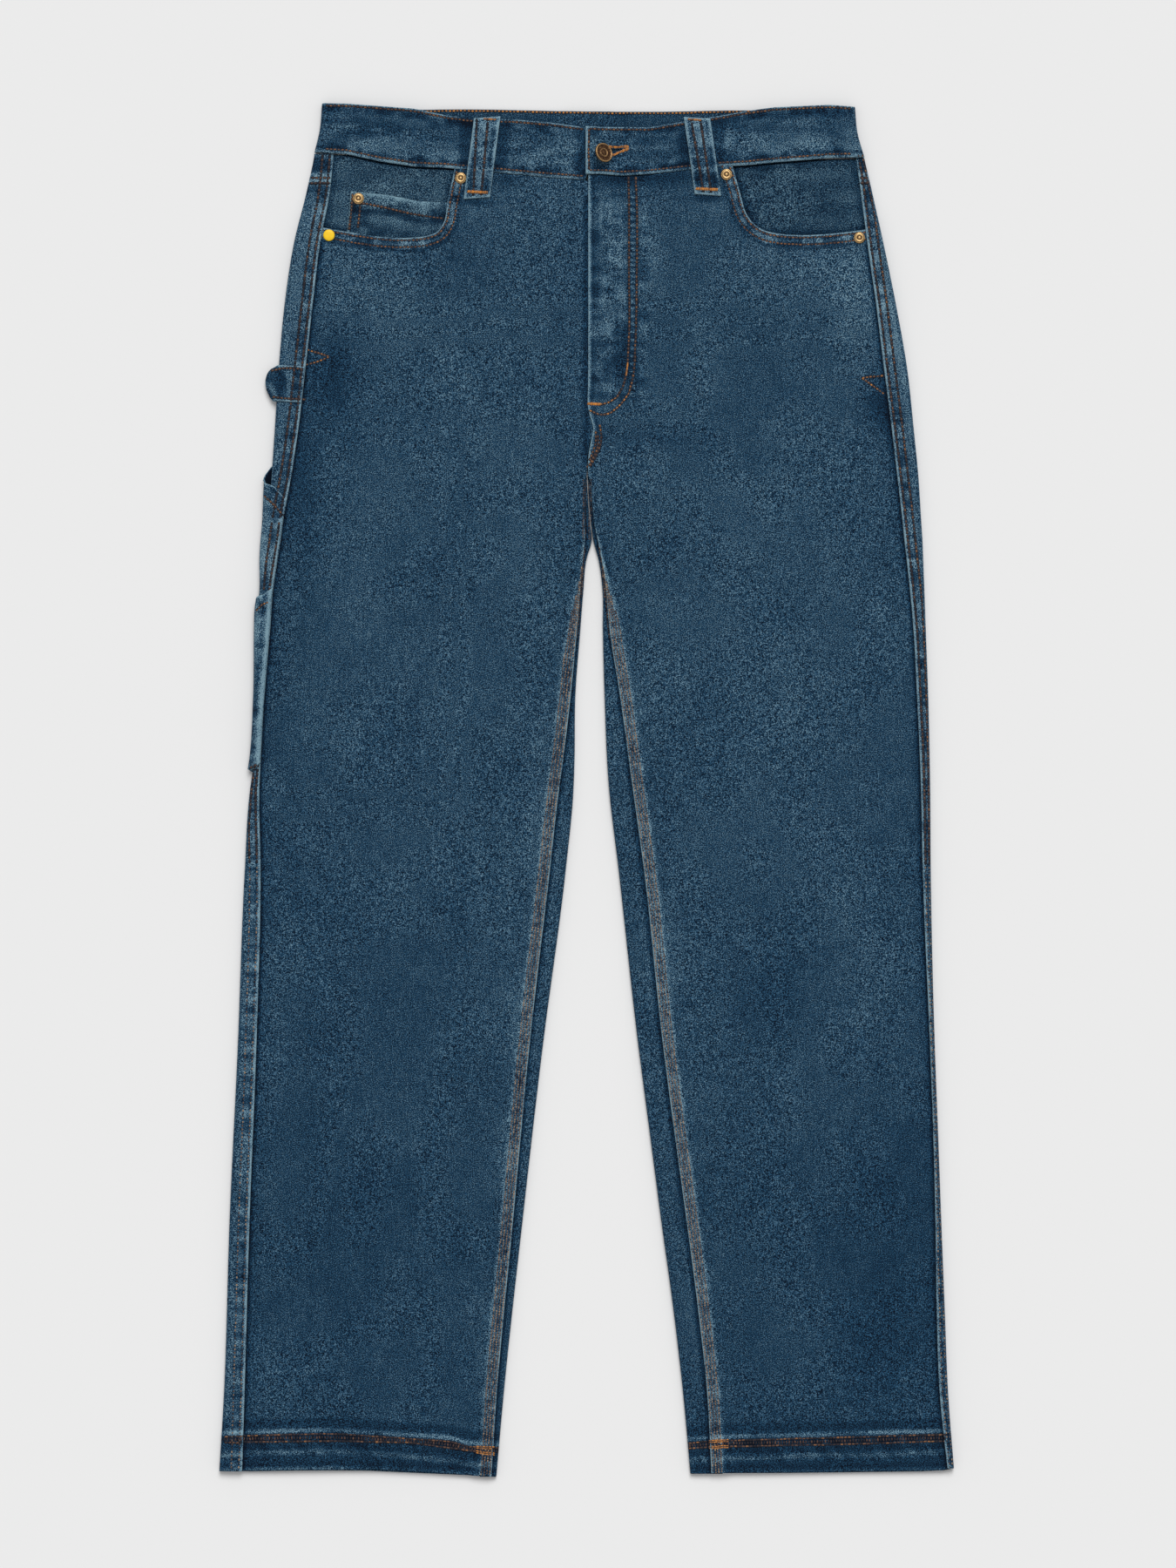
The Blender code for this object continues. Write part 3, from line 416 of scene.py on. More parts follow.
# Soft hollows and ridges of the upper layer: x, y, direction in degrees, length, width, height
folds = [
    (-120.0, 175.0, 25.0, 90.0, 26.0, 0.5),
    (-80.0, 260.0, 62.0, 70.0, 24.0, -0.4),
    (110.0, 230.0, -55.0, 80.0, 26.0, 0.5),
    (60.0, 150.0, -20.0, 60.0, 24.0, -0.4),
    (-150.0, -90.0, 12.0, 85.0, 32.0, 0.5),
    (-185.0, -330.0, 80.0, 120.0, 30.0, -0.4),
    (160.0, -60.0, -14.0, 90.0, 32.0, 0.5),
    (185.0, -300.0, -78.0, 120.0, 30.0, -0.4),
    (-190.0, -450.0, 5.0, 70.0, 30.0, 0.4),
    (190.0, -440.0, -6.0, 70.0, 30.0, 0.4),
]
# Smaller creases that only the looks have: x, y, direction in degrees, length, width, height
creases = [
    (52.0, 283.0, 14.0, 46.0, 7.0, -0.5),
    (48.0, 300.0, 18.0, 40.0, 8.0, 0.35),
    (-38.0, 276.0, -16.0, 38.0, 8.0, -0.3),
    (26.0, 337.0, 78.0, 22.0, 4.5, -0.55),
    (24.0, 372.0, 92.0, 34.0, 3.6, 0.4),
    (31.0, 400.0, 90.0, 60.0, 3.0, -0.25),
    (16.0, 412.0, 90.0, 64.0, 3.2, 0.35),
    (10.0, 380.0, 88.0, 44.0, 3.0, -0.3),
    (236.0, 309.0, 20.0, 13.0, 6.0, -0.5),
    (-196.0, 318.0, 80.0, 30.0, 9.0, -0.35),
    (-170.0, 512.0, 2.0, 36.0, 3.6, 0.3),
    (-148.0, 520.0, -6.0, 46.0, 4.0, -0.3),
    (150.0, 516.0, 3.0, 46.0, 5.0, 0.22),
    (190.0, 509.0, 8.0, 26.0, 4.0, -0.22),
    (55.0, 512.0, 60.0, 10.0, 4.0, -0.25),
    (-52.0, 508.0, -30.0, 14.0, 5.0, -0.2),
]
# Slow unevenness of the lay: size in x, size in y, height, seed
unevenness = [(70.0, 110.0, 0.35, 11), (30.0, 42.0, 0.16, 12), (13.0, 16.0, 0.06, 13)]


def ridges(x, y, table):
    # The sum of long bell-shaped ridges, each with its place, direction, length, width and height
    height = 0.0 * (x + y)
    for centreX, centreY, turn, length, width, rise in table:
        cosine, sine = math.cos(math.radians(turn)), math.sin(math.radians(turn))
        along = (x - centreX) * cosine + (y - centreY) * sine
        across = (y - centreY) * cosine - (x - centreX) * sine
        height = height + rise * np.exp(-((along / length) ** 2) - (across / width) ** 2)
    return height


def solidHeight(x, y):
    # Outer skin of a front panel in the solids: rest height, higher over hidden layers, with soft folds
    overHips = softStep((y - cloth["hipRise"][0]) / cloth["hipRise"][1])
    overPockets = plateau(x, *cloth["pocketRiseX"], cloth["pocketRiseRamp"])
    overPockets = overPockets * plateau(y, *cloth["pocketRiseY"], cloth["pocketRiseRamp"])
    return cloth["frontHeight"] + layer * overHips + layer * overPockets + ridges(x, y, folds)


def topHeight(x, y):
    # The solids' height with the looks' creases and slow unevenness on it
    height = solidHeight(x, y) + ridges(x, y, creases)
    for sizeX, sizeY, rise, seed in unevenness:
        height = height + rise * softNoise(x, y, sizeX, sizeY, seed)
    return height


def stripHeight(x, y):
    # The back's strip on top: a layer over the front panel, and under it beside the facings
    low, high = cloth["facingStrip"]
    return topHeight(x, y) + layer * (1 - 2 * softStep((y - low) / (high - low)))


def lift(leg, fromFold, y, level):
    # How far the back clears the floor over the wrapped pieces under it
    height = 0.0 * (fromFold + y)
    if leg.sign > 0:
        return height
    margin, ramp = wrap["liftMargin"], wrap["liftRamp"]
    for piece in wrappedPieces:
        if piece["level"] > level:
            highest = max(piece["top"], piece["topLimit"]) + margin
            lowest = min(piece["low"], piece["lowLimit"]) - margin
            over = 1 - softStep((fromFold - piece["reach"] - margin) / ramp)
            height = height + layer * over * plateau(y, lowest, highest, ramp)
    return height


class Leg:
    # One leg's seams and folds. Its sign is -1 for the wearer's right leg.
    def __init__(self, sign, table):
        self.sign = sign
        self.side = "right" if sign < 0 else "left"
        self.outerFold = through(table, 1)
        self.tableSeam = through(table, 2)
        self.tableInseam = through(table, 3)
        self.innerFold = through(table, 4)

    def foldRadius(self, y):
        near = self.outerFold(y) - self.sign * cloth["nearFold"]
        return (stripHeight(near, y) - lift(self, 0.0, y, 0)) / 2

    def sideSeam(self, y):
        most = self.outerFold(y) - self.sign * (self.foldRadius(y) + cloth["leastTongue"])
        return self.sign * np.minimum(self.sign * self.tableSeam(y), self.sign * most)

    def inseam(self, y):
        radius = topHeight(self.innerFold(y), y) / 2
        least = self.innerFold(y) + self.sign * (radius + cloth["gap"])
        return self.sign * np.maximum(self.sign * self.tableInseam(y), self.sign * least)

    def hiddenEdge(self, y):
        width = self.sign * (self.outerFold(y) - self.sideSeam(y))
        tongue = np.minimum(cloth["seamTongue"], width - self.foldRadius(y))
        return self.sideSeam(y) + self.sign * np.maximum(tongue, cloth["leastTongue"])


rightLeg = Leg(-1, rightLegTable)
leftLeg = Leg(1, leftLegTable)


def flyShare(leg, y):
    if leg.sign < 0:
        return 0.0 * y
    return softStep((y - cloth["flyEnds"] + cloth["flyFade"]) / cloth["flyFade"])


def frontRaise(leg, inward, y):
    # How far a front panel rises at its inner edge, over the fly and the felled inseam
    flat = cloth["fellFlat"] + (cloth["flyFlat"] - cloth["fellFlat"]) * flyShare(leg, y)
    ramp = cloth["fellRamp"] + (cloth["flyRamp"] - cloth["fellRamp"]) * flyShare(leg, y)
    amount = layer * (1 - softStep((inward - flat) / ramp))
    if leg.sign < 0:
        amount = amount * softStep((cloth["fellStarts"] - y) / (cloth["fellStarts"] - cloth["fellFull"]))
    return amount


def innerEdge(leg, y):
    # The front panel's inner edge: the fly's edge above the crotch, the inseam below it
    centre = through(centreFront, 1)(y)
    if leg.sign < 0:
        underlap = softStep((y - cloth["underlapEnds"]) / cloth["underlapFade"])
        centre = centre + cloth["flyUnderlap"] * underlap - 2 * cloth["gap"] * (1 - underlap)
    turnedIn = softStep((cloth["crotch"] + 1 - y) / (cloth["crotch"] - cloth["crotchCloses"]))
    return centre * (1 - turnedIn) + leg.inseam(y) * turnedIn


def bandLow(leg, x):
    # The band's lower edge on a leg's side, with the gap under it
    shown = [row for row in bandRight if row[0] < 0.0] if leg.sign < 0 else bandLeft
    return straight(shown, 2)(x) - cloth["gap"]


def fellShare(leg, y):
    # The felled inseam's width, as a share of its full width, grows from nothing below the crotch
    start, span = cloth["fellGrows"][0 if leg.sign < 0 else 1]
    return np.clip((start - y) / span, 0.02, 1.0)


def withHem(nominal, x, drop=0.0):
    # The lowest row follows the hem's edge, and the rows above it move less and less
    share = softStep((cloth["hemStarts"] - nominal) / cloth["hemSpan"])
    return nominal + (straight(hemEdge, 1)(x) - drop - cloth["hemLevel"]) * share


def topFade(nominal, start):
    # Grows in a straight line from nothing at the fading height to one at the start
    return np.clip((nominal - cloth["edgeFadesAt"]) / (start - cloth["edgeFadesAt"]), 0.0, 1.0)


def leftBandRaise(x):
    # The band's left end lies one thickness over its right end, and comes down softly
    lap = cloth["bandOverlap"] + 2.0
    return (cloth["bandWall"] + cloth["gap"]) * (1 - softStep((x - lap) / cloth["bandRamp"]))


# Wear of the denim and painted shade: above zero is faded, below zero is darker than the ground. Dark patches
# and lines that are painted shade are marked where they stand.

# Patches: x, y, reach in x, reach in y, amount
wearAndShadePatches = [
    (-168.0, 391.0, 55.0, 40.0, 0.13),
    (-110.0, 410.0, 40.0, 36.0, -0.10),
    (218.0, 392.0, 22.0, 48.0, 0.28),
    (177.0, 408.0, 45.0, 26.0, 0.10),
    (18.0, 440.0, 13.0, 40.0, 0.14),
    (50.0, 410.0, 9.0, 34.0, 0.14),
    (18.0, 380.0, 11.0, 22.0, 0.12),
    (28.0, 336.0, 9.0, 20.0, -0.55),
    # Painted shadow under the band at the fly, partly darker dye
    (30.0, 484.0, 26.0, 6.0, -0.60),
    (-90.0, 462.0, 12.0, 9.0, 0.12),
    (100.0, 462.0, 12.0, 9.0, 0.12),
    # The next two: painted shade under the band's lower edge
    (70.0, 486.0, 16.0, 7.0, -0.30),
    (-62.0, 484.0, 12.0, 7.0, -0.25),
    (237.0, 302.0, 13.0, 17.0, -0.42),
    (-200.0, 330.0, 16.0, 40.0, -0.30),
    (-222.0, 240.0, 16.0, 80.0, -0.22),
    (-240.0, 80.0, 12.0, 90.0, -0.06),
    (-250.0, -150.0, 14.0, 170.0, 0.02),
    (56.0, 280.0, 44.0, 10.0, -0.16),
    # Painted shade in the crevice at the crotch
    (-1.0, 226.0, 5.0, 26.0, -0.08),
    (142.0, -161.0, 30.0, 28.0, -0.10),
    (211.0, -120.0, 28.0, 60.0, 0.09),
    (165.0, 60.0, 60.0, 110.0, 0.05),
    (236.0, -390.0, 36.0, 110.0, -0.16),
    (60.0, -150.0, 12.0, 50.0, 0.18),
    (84.0, -400.0, 12.0, 40.0, 0.12),
    (-36.0, -40.0, 12.0, 60.0, 0.18),
    (-52.0, -190.0, 12.0, 40.0, 0.20),
    (-60.0, -290.0, 12.0, 40.0, 0.22),
    (-78.0, -430.0, 12.0, 46.0, 0.12),
    (-190.0, -360.0, 60.0, 70.0, -0.08),
    (0.0, 503.0, 30.0, 16.0, 0.10),
    # The next two: painted shadows under the front belt loops' lower ends
    (95.0, 467.8, 11.0, 2.2, -0.55),
    (-87.0, 464.6, 11.0, 2.2, -0.55),
    (-170.0, 510.0, 34.0, 4.0, 0.20),
    (-120.0, 503.0, 26.0, 4.0, 0.16),
    (-130.0, 522.0, 40.0, 5.0, -0.16),
    (-160.0, 528.0, 46.0, 7.0, -0.18),
    (150.0, 513.0, 50.0, 7.0, 0.26),
    (160.0, 531.0, 44.0, 6.0, -0.12),
    (58.0, 512.0, 22.0, 10.0, -0.12),
]
wornGround = {"low": -0.19, "top": -0.09, "from": 120.0, "span": 560.0}
wornNoise = [(34.0, 46.0, 0.05, 21), (9.0, 15.0, 0.045, 22)]  # size in x, size in y, amount, seed


def wearAndShadeAt(x, y):
    # Slow change from thigh to hem, patches of wear and of painted shade, and two sizes of noise
    down = np.clip((wornGround["from"] - y) / wornGround["span"], 0.0, 1.0)
    amount = wornGround["top"] + (wornGround["low"] - wornGround["top"]) * down
    for centreX, centreY, reachX, reachY, change in wearAndShadePatches:
        spot = np.exp(-(((x - centreX) / reachX) ** 2) - ((y - centreY) / reachY) ** 2)
        amount = amount + change * spot
    for sizeX, sizeY, change, seed in wornNoise:
        amount = amount + change * softNoise(x, y, sizeX, sizeY, seed)
    return amount


def unevenWear(along, seed, size=12.0):
    # How strongly an edge is worn, from place to place along it
    return 0.8 + 0.42 * alongNoise(along, size, seed) + 0.2 * alongNoise(along, 3.4, seed + 1)


def rim(distance, width=1.5, light=1.35, dark=0.25, darkAt=3.8):
    # A folded edge: worn pale on the edge itself, darker just inside it
    return light * np.exp(-((distance / width) ** 2)) - dark * bell(distance, darkAt, 1.5)


def pucker(along, across, low, high, seed, size=6.0):
    # Roping beside stitches: uneven short ripples along a seam, only between two distances from it
    slow = softNoise(along, across, size, 60.0, seed)
    fast = softNoise(along, across, size * 0.45, 60.0, seed + 1)
    return (slow + 0.5 * fast) * plateau(across, low, high, 1.5)


# Materials


def srgb(red, green, blue):
    values = [value / 255.0 for value in (red, green, blue)]
    linear = [value / 12.92 if value <= 0.04045 else ((value + 0.055) / 1.055) ** 2.4 for value in values]
    return (*linear, 1.0)


def setSockets(made, values):
    for name, value in values.items():
        made.inputs[name].default_value = value
    return made


def newMaterial(name, values):
    # A material, its node tree, and its shader with some sockets set
    made = bpy.data.materials.new(name)
    made.use_nodes = True
    tree = made.node_tree
    return made, tree, setSockets(tree.nodes["Principled BSDF"], values)


def maths(tree, operation, first, second):
    # The result of a Math node on two sockets or numbers
    step = tree.nodes.new("ShaderNodeMath")
    step.operation = operation
    for socket, value in zip(step.inputs, (first, second)):
        if isinstance(value, (int, float)):
            socket.default_value = value
        else:
            tree.links.new(value, socket)
    return step.outputs[0]


def painted(tree, name):
    # A measure painted on the piece's vertices
    made = tree.nodes.new("ShaderNodeAttribute")
    made.attribute_name = name
    return made.outputs["Fac"]


def fineNoise(tree, scale, detail):
    # Noise on the object's own coordinates
    place = tree.nodes.new("ShaderNodeTexCoord")
    noise = setSockets(tree.nodes.new("ShaderNodeTexNoise"), {"Scale": scale, "Detail": detail})
    tree.links.new(place.outputs["Object"], noise.inputs["Vector"])
    return noise.outputs["Fac"]


def colourBy(tree, shader, share, stops):
    # The base colour runs over a ramp, from rows of position, red, green, blue
    ramp = tree.nodes.new("ShaderNodeValToRGB")
    elements = ramp.color_ramp.elements
    for index, row in enumerate((stops[0], stops[-1])):
        elements[index].position = row[0]
        elements[index].color = srgb(*row[1:])
    for position, *colour in stops[1:-1]:
        elements.new(position).color = srgb(*colour)
    tree.links.new(share, ramp.inputs["Fac"])
    tree.links.new(ramp.outputs["Color"], shader.inputs["Base Color"])


def roughen(tree, shader, height, strength, distance):
    # A height makes a bump of a strength and a depth in metres
    bump = setSockets(tree.nodes.new("ShaderNodeBump"), {"Strength": strength, "Distance": distance})
    tree.links.new(height, bump.inputs["Height"])
    tree.links.new(bump.outputs["Normal"], shader.inputs["Normal"])


def denimMaterial(name, settings):
    # Colour by wear and painted shade, flecks, threads and clouds together, over twill ribs in the bump
    made, tree, shader = newMaterial(name, settings["sockets"])
    place = tree.nodes.new("ShaderNodeTexCoord").outputs["Object"]

    def texture(kind, mapping, values):
        turned = setSockets(tree.nodes.new("ShaderNodeMapping"), mapping)
        pattern = setSockets(tree.nodes.new(kind), values)
        tree.links.new(place, turned.inputs["Vector"])
        tree.links.new(turned.outputs["Vector"], pattern.inputs["Vector"])
        return pattern.outputs["Fac"]

    def grain(size, detail, amount):
        # Noise of a size in millimetres along each axis, above and below zero
        scale = tuple(1000 / side for side in size)
        noise = texture("ShaderNodeTexNoise", {"Scale": scale}, {"Scale": 1.0, "Detail": detail})
        return maths(tree, "MULTIPLY", maths(tree, "SUBTRACT", noise, 0.5), amount)

    flecks = maths(tree, "MINIMUM", grain(*settings["flecks"]), settings["palest"])
    threads = maths(tree, "ADD", flecks, grain(*settings["warp"]))
    across = maths(tree, "ADD", grain(*settings["weft"]), grain(*settings["cloud"]))
    total = maths(tree, "ADD", threads, across)
    worn = maths(tree, "MULTIPLY", painted(tree, "worn"), settings["wornReach"])
    total = maths(tree, "ADD", maths(tree, "ADD", worn, total), 0.5)
    colourBy(tree, shader, total, settings["colours"])
    ribs = texture(
        "ShaderNodeTexWave",
        {"Rotation": (0.0, 0.0, math.radians(settings["twillTurn"])), "Scale": (1000.0, 1000.0, 1000.0)},
        {"Scale": settings["twillRibs"], "Distortion": 1.2, "Detail": 1.0},
    )
    relief = maths(tree, "ADD", maths(tree, "MULTIPLY", ribs, settings["ribHeight"]), total)
    roughen(tree, shader, relief, *settings["bump"])
    return made


denimSettings = {
    "sockets": {
        "Roughness": 0.9,
        "Specular IOR Level": 0.12,
        "Sheen Weight": 0.03,
        "Sheen Roughness": 0.6,
        "Sheen Tint": srgb(150, 175, 195),
    },
    # Size along x, y and z, detail, amount
    "flecks": ((0.66, 0.66, 0.66), 1.0, 3.3),
    "warp": ((0.9, 7.0, 0.9), 0.0, 0.20),
    "weft": ((5.0, 0.9, 0.9), 0.0, 0.12),
    "cloud": ((22.0, 22.0, 22.0), 2.0, 0.05),
    "palest": 0.42,
    "wornReach": 0.55,
    "twillTurn": 63.0,
    "twillRibs": 0.55,
    "ribHeight": 0.35,
    "bump": (0.5, 0.0004),  # strength, distance in metres
    "colours": [
        (0.0, 0, 8, 24),
        (0.25, 5, 30, 50),
        (0.5, 19, 58, 86),
        (0.74, 45, 84, 112),
        (1.0, 122, 152, 166),
    ],
}
facingColours = [
    (0.0, 0, 6, 20),
    (0.25, 1, 25, 47),
    (0.5, 15, 51, 76),
    (0.74, 42, 78, 103),
    (1.0, 116, 147, 161),
]
denim = denimMaterial("washedDenim", denimSettings)
facingDenim = denimMaterial("darkDenim", {**denimSettings, "colours": facingColours})


def metalMaterial(name, colour, dark, roughness):
    # Antique metal: bright where it is rubbed, dark in its hollows by the patina painted on them
    made, tree, shader = newMaterial(name, {"Metallic": 0.85, "Roughness": roughness})
    noise = fineNoise(tree, 900.0, 3.0)
    rubbed = maths(tree, "SUBTRACT", noise, maths(tree, "MULTIPLY", painted(tree, "patina"), 0.6))
    colourBy(tree, shader, rubbed, [(0.0, *dark), (0.5, *colour)])
    roughen(tree, shader, noise, 0.2, 0.0001)
    return made


antiqueBrass = metalMaterial("antiqueBrass", (204, 170, 118), (88, 64, 42), 0.40)
buttonBrass = metalMaterial("buttonBrass", (176, 142, 98), (68, 44, 30), 0.42)


def enamelMaterial():
    made, tree, shader = newMaterial("yellowEnamel", {"Roughness": 0.45, "Specular IOR Level": 0.3})
    colourBy(tree, shader, fineNoise(tree, 600.0, 2.0), [(0.0, 232, 186, 20), (1.0, 250, 208, 40)])
    return made


yellowEnamel = enamelMaterial()

# Meshes

clothPieces = []


def gridQuads(rows, columns):
    # The four corner numbers of each cell of a grid
    corner = np.arange(rows - 1)[:, None] * columns + np.arange(columns - 1)[None, :]
    return np.stack([corner, corner + columns, corner + columns + 1, corner + 1], -1)


def surfaceArea(points, keep):
    # Sum of the cells' areas, each half the length of the cross product of its diagonals
    first = points[1:, 1:] - points[:-1, :-1]
    second = points[1:, :-1] - points[:-1, 1:]
    areas = 0.5 * np.linalg.norm(np.cross(first, second), axis=-1)
    return float(areas[keep].sum())


def newPiece(name, vertices, faces, measure, amounts, paint):
    # A smooth mesh from places in millimetres, with one measure painted on its vertices
    mesh = bpy.data.meshes.new(name)
    mesh.from_pydata((vertices * millimetre).tolist(), [], faces)
    layerOfPaint = mesh.attributes.new(measure, "FLOAT", "POINT")
    layerOfPaint.data.foreach_set("value", amounts.astype(np.float32))
    mesh.shade_smooth()
    mesh.materials.append(paint)
    piece = bpy.data.objects.new(name, mesh)
    bpy.context.scene.collection.objects.link(piece)
    return piece


def clothPiece(name, nodes, sheets, wall, paint):
    # One piece of cloth made of grids on its outer skin: points, wear with painted shade, and kept cells of
    # each
    vertices, faces, worn = [], [], []
    start, area = 0, 0.0
    for points, amount, keep in sheets:
        if keep is None:
            keep = np.ones((points.shape[0] - 1, points.shape[1] - 1), bool)
        quads = gridQuads(*points.shape[:2])[keep]
        used = np.zeros(points.shape[0] * points.shape[1], bool)
        used[quads.ravel()] = True
        renumber = np.cumsum(used) - 1 + start
        vertices.append(points.reshape(-1, 3)[used])
        worn.append(np.broadcast_to(amount, points.shape[:2]).reshape(-1)[used])
        faces.append(renumber[quads])
        area += surfaceArea(points, keep)
        start += int(used.sum())
    quads = np.concatenate(faces).tolist()
    piece = newPiece(name, np.concatenate(vertices), quads, "worn", np.concatenate(worn), paint)
    thickness = piece.modifiers.new("wall", "SOLIDIFY")
    thickness.thickness = wall * millimetre
    thickness.offset = -1.0
    thickness.use_even_offset = False
    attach(piece, "root")
    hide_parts(*nodes)
    clothPieces.append(piece)
    print(name, "area", round(area * millimetre**2, 4), "faces", len(quads))


def insideOutline(x, y, outline):
    # Even-odd rule: how many edges of the outline a ray towards +X crosses
    inside = np.zeros(x.shape, bool)
    for (x0, y0), (x1, y1) in zip(outline, np.roll(outline, -1, axis=0)):
        crosses = (y0 > y) != (y1 > y)
        inside ^= crosses & (x < (x1 - x0) * (y - y0) / (y1 - y0 + 1e-12) + x0)
    return inside


def nearestOn(x, y, path):
    # Nearest point of a path to each point, and its distance
    best = np.full(x.shape, np.inf)
    nearX, nearY = x.copy(), y.copy()
    for (x0, y0), (x1, y1) in zip(path[:-1], path[1:]):
        length = (x1 - x0) ** 2 + (y1 - y0) ** 2
        share = np.clip(((x - x0) * (x1 - x0) + (y - y0) * (y1 - y0)) / length, 0, 1)
        px, py = x0 + share * (x1 - x0), y0 + share * (y1 - y0)
        distance = np.hypot(x - px, y - py)
        closer = distance < best
        best = np.where(closer, distance, best)
        nearX, nearY = np.where(closer, px, nearX), np.where(closer, py, nearY)
    return nearX, nearY, best


def cutAlong(x, y, outline, path):
    # Leaves out the cells inside an outline, and moves the vertices beside them onto its path
    middleX = (x[1:, 1:] + x[:-1, :-1] + x[1:, :-1] + x[:-1, 1:]) / 4
    middleY = (y[1:, 1:] + y[:-1, :-1] + y[1:, :-1] + y[:-1, 1:]) / 4
    keep = ~insideOutline(middleX, middleY, outline)
    touched = np.zeros(x.shape, bool)
    kept = np.zeros(x.shape, bool)
    for rowShift in (0, 1):
        for columnShift in (0, 1):
            rows = slice(rowShift, rowShift + keep.shape[0])
            columns = slice(columnShift, columnShift + keep.shape[1])
            touched[rows, columns] |= ~keep
            kept[rows, columns] |= keep
    border = touched & kept
    x, y = x.copy(), y.copy()
    x[border], y[border] = nearestOn(x[border], y[border], path)[:2]
    return x, y, keep


print("tables and materials ready")

# Front panels

front = {
    "fromInner": [0, 0.3, 0.7, 1.2, 1.8, 2.6, 3.6, 4.8, 6, 7.2, 8.4, 9.2, 10, 11, 12.5, 14.5, 17]
    + [20, 23, 26, 29, 31, 32.5, 34, 36, 38, 40, 43, 46, 49],
    "fromSeam": [12.0, 9.0, 6.5, 4.5, 3.0, 1.9, 1.1, 0.5],
    "middle": 54,
    "rowSteps": [(505.0, 285.0, 2.1), (285.0, -478.0, 3.6), (-478.0, -541.0, 1.7)],
    "mouthHem": [
        (0.9, -1.15), (0.25, -0.95), (0.0, -0.5), (0.15, -0.05), (0.6, 0.3), (1.3, 0.5),
        (2.2, 0.42), (3.2, 0.58), (5.0, 0.62), (6.8, 0.55), (7.6, 0.4), (8.6, 0.5), (10.0, 0.35),
        (11.4, 0.08), (12.6, -0.12),
    ],  # profile of the turned edge: distance from the mouth, height over the panel
    "mouthRows": [2.2, 7.6],
    "mouthStep": 1.6,
    "cutMargin": 20.0,
    "legStarts": (208.0, 12.0),  # below the crotch, where the felled inseam shows: y, ramp
    "fellWear": {"right": (0.18, 0.40), "left": (0.40, 0.5)},  # on the fell, at its far edge
    "flySpan": (312.0, 486.0, 8.0),  # from, to, ramp
    "flyRows": (31.8, 38.2),
    "ladderPitch": 5.8,  # ripples between the fly's two rows
}


# The hem's two rows on both legs: x, y. Bright stretches lie over the inseams.
hemRows = {
    "upper": [
        (-290.5, -511.8), (-272.6, -511.0), (-204.2, -509.2), (-172.5, -511.0), (-109.4, -515.4),
        (-93.8, -519.6), (-69.0, -520.6), (80.0, -516.8), (97.3, -515.2), (107.6, -514.7),
        (189.8, -512.7), (251.2, -510.8), (281.9, -510.0),
    ],
    "lower": [
        (-290.5, -516.3), (-204.2, -515.0), (-140.8, -516.2), (-93.8, -522.6), (-71.1, -525.8),
        (80.0, -520.9), (107.6, -519.4), (189.8, -518.0), (281.9, -515.1),
    ],
    "bright": [(-88.0, -73.0), (96.0, 112.0)],
}


def panelRows(steps):
    # Heights of a panel's rows from top to bottom: spans from high to low, each with its step
    rows = np.concatenate([np.arange(high, low, -step) for high, low, step in steps])
    lowest = steps[-1][1] + 1.0
    return np.append(rows[rows > lowest + 0.5], lowest)


def hemRipple(x, y, above, seed):
    # Slanting ripples, strongest between the two rows
    slant = x + 0.7 * y
    wave = softNoise(slant, y, 4.2, 26.0, seed) + 0.6 * softNoise(slant, y, 9.0, 40.0, seed + 1)
    return wave * (plateau(above, -4.6, -0.6, 1.0) + 0.45 * plateau(above, -18.0, -5.0, 3.0))


def hemForm(x, y, seed):
    # The doubled hem: higher below a ridge over its upper row, puckered between its rows, creased below
    above = y - straight(hemRows["upper"], 1)(x)
    below = softStep((3.0 - above) / 2.0)
    drift = 1.6 * softNoise(x, y, 50.0, 60.0, seed + 3)
    crease = 0.35 * bell(above, -12.6 + drift, 2.0) - 0.35 * bell(above, -16.2 + drift, 2.2)
    rows = -0.25 * bell(above, 0.0, 0.8) - 0.25 * bell(above, -4.8, 0.8)
    ridge = 0.4 * bell(above, 2.4, 1.6)
    return 0.5 * below + ridge + crease + rows + 0.3 * hemRipple(x, y, above, seed)


def hemWear(x, y, seed):
    # Pale on the ridge, the crease and the lowest edge, dark between the rows and below them
    above = y - straight(hemRows["upper"], 1)(x)
    drift = 1.6 * softNoise(x, y, 50.0, 60.0, seed + 3)
    patchy = 0.6 + 0.4 * softNoise(x, y, 24.0, 30.0, seed + 4)
    ridge = 0.85 * patchy * bell(above, 3.2, 1.6) - 0.26 * plateau(above, 6.2, 11.0, 3.0)
    dark = -0.62 * plateau(above, -4.8, 0.2, 0.9) - 0.34 * plateau(above, -10.4, -6.4, 1.6)
    crease = 0.42 * patchy * bell(above, -14.4 + drift, 1.4) - 0.22 * plateau(above, -24.5, -17.5, 2.0)
    pale = np.where(x < 0, 0.5, 0.06) * unevenWear(x, seed + 6, 20.0)
    edge = pale * bell(y - y[-1:], 1.4, 1.1) - 0.2 * bell(y - y[-1:], 4.6, 1.6)
    return ridge + dark + crease + edge + 0.4 * hemRipple(x, y, above, seed)


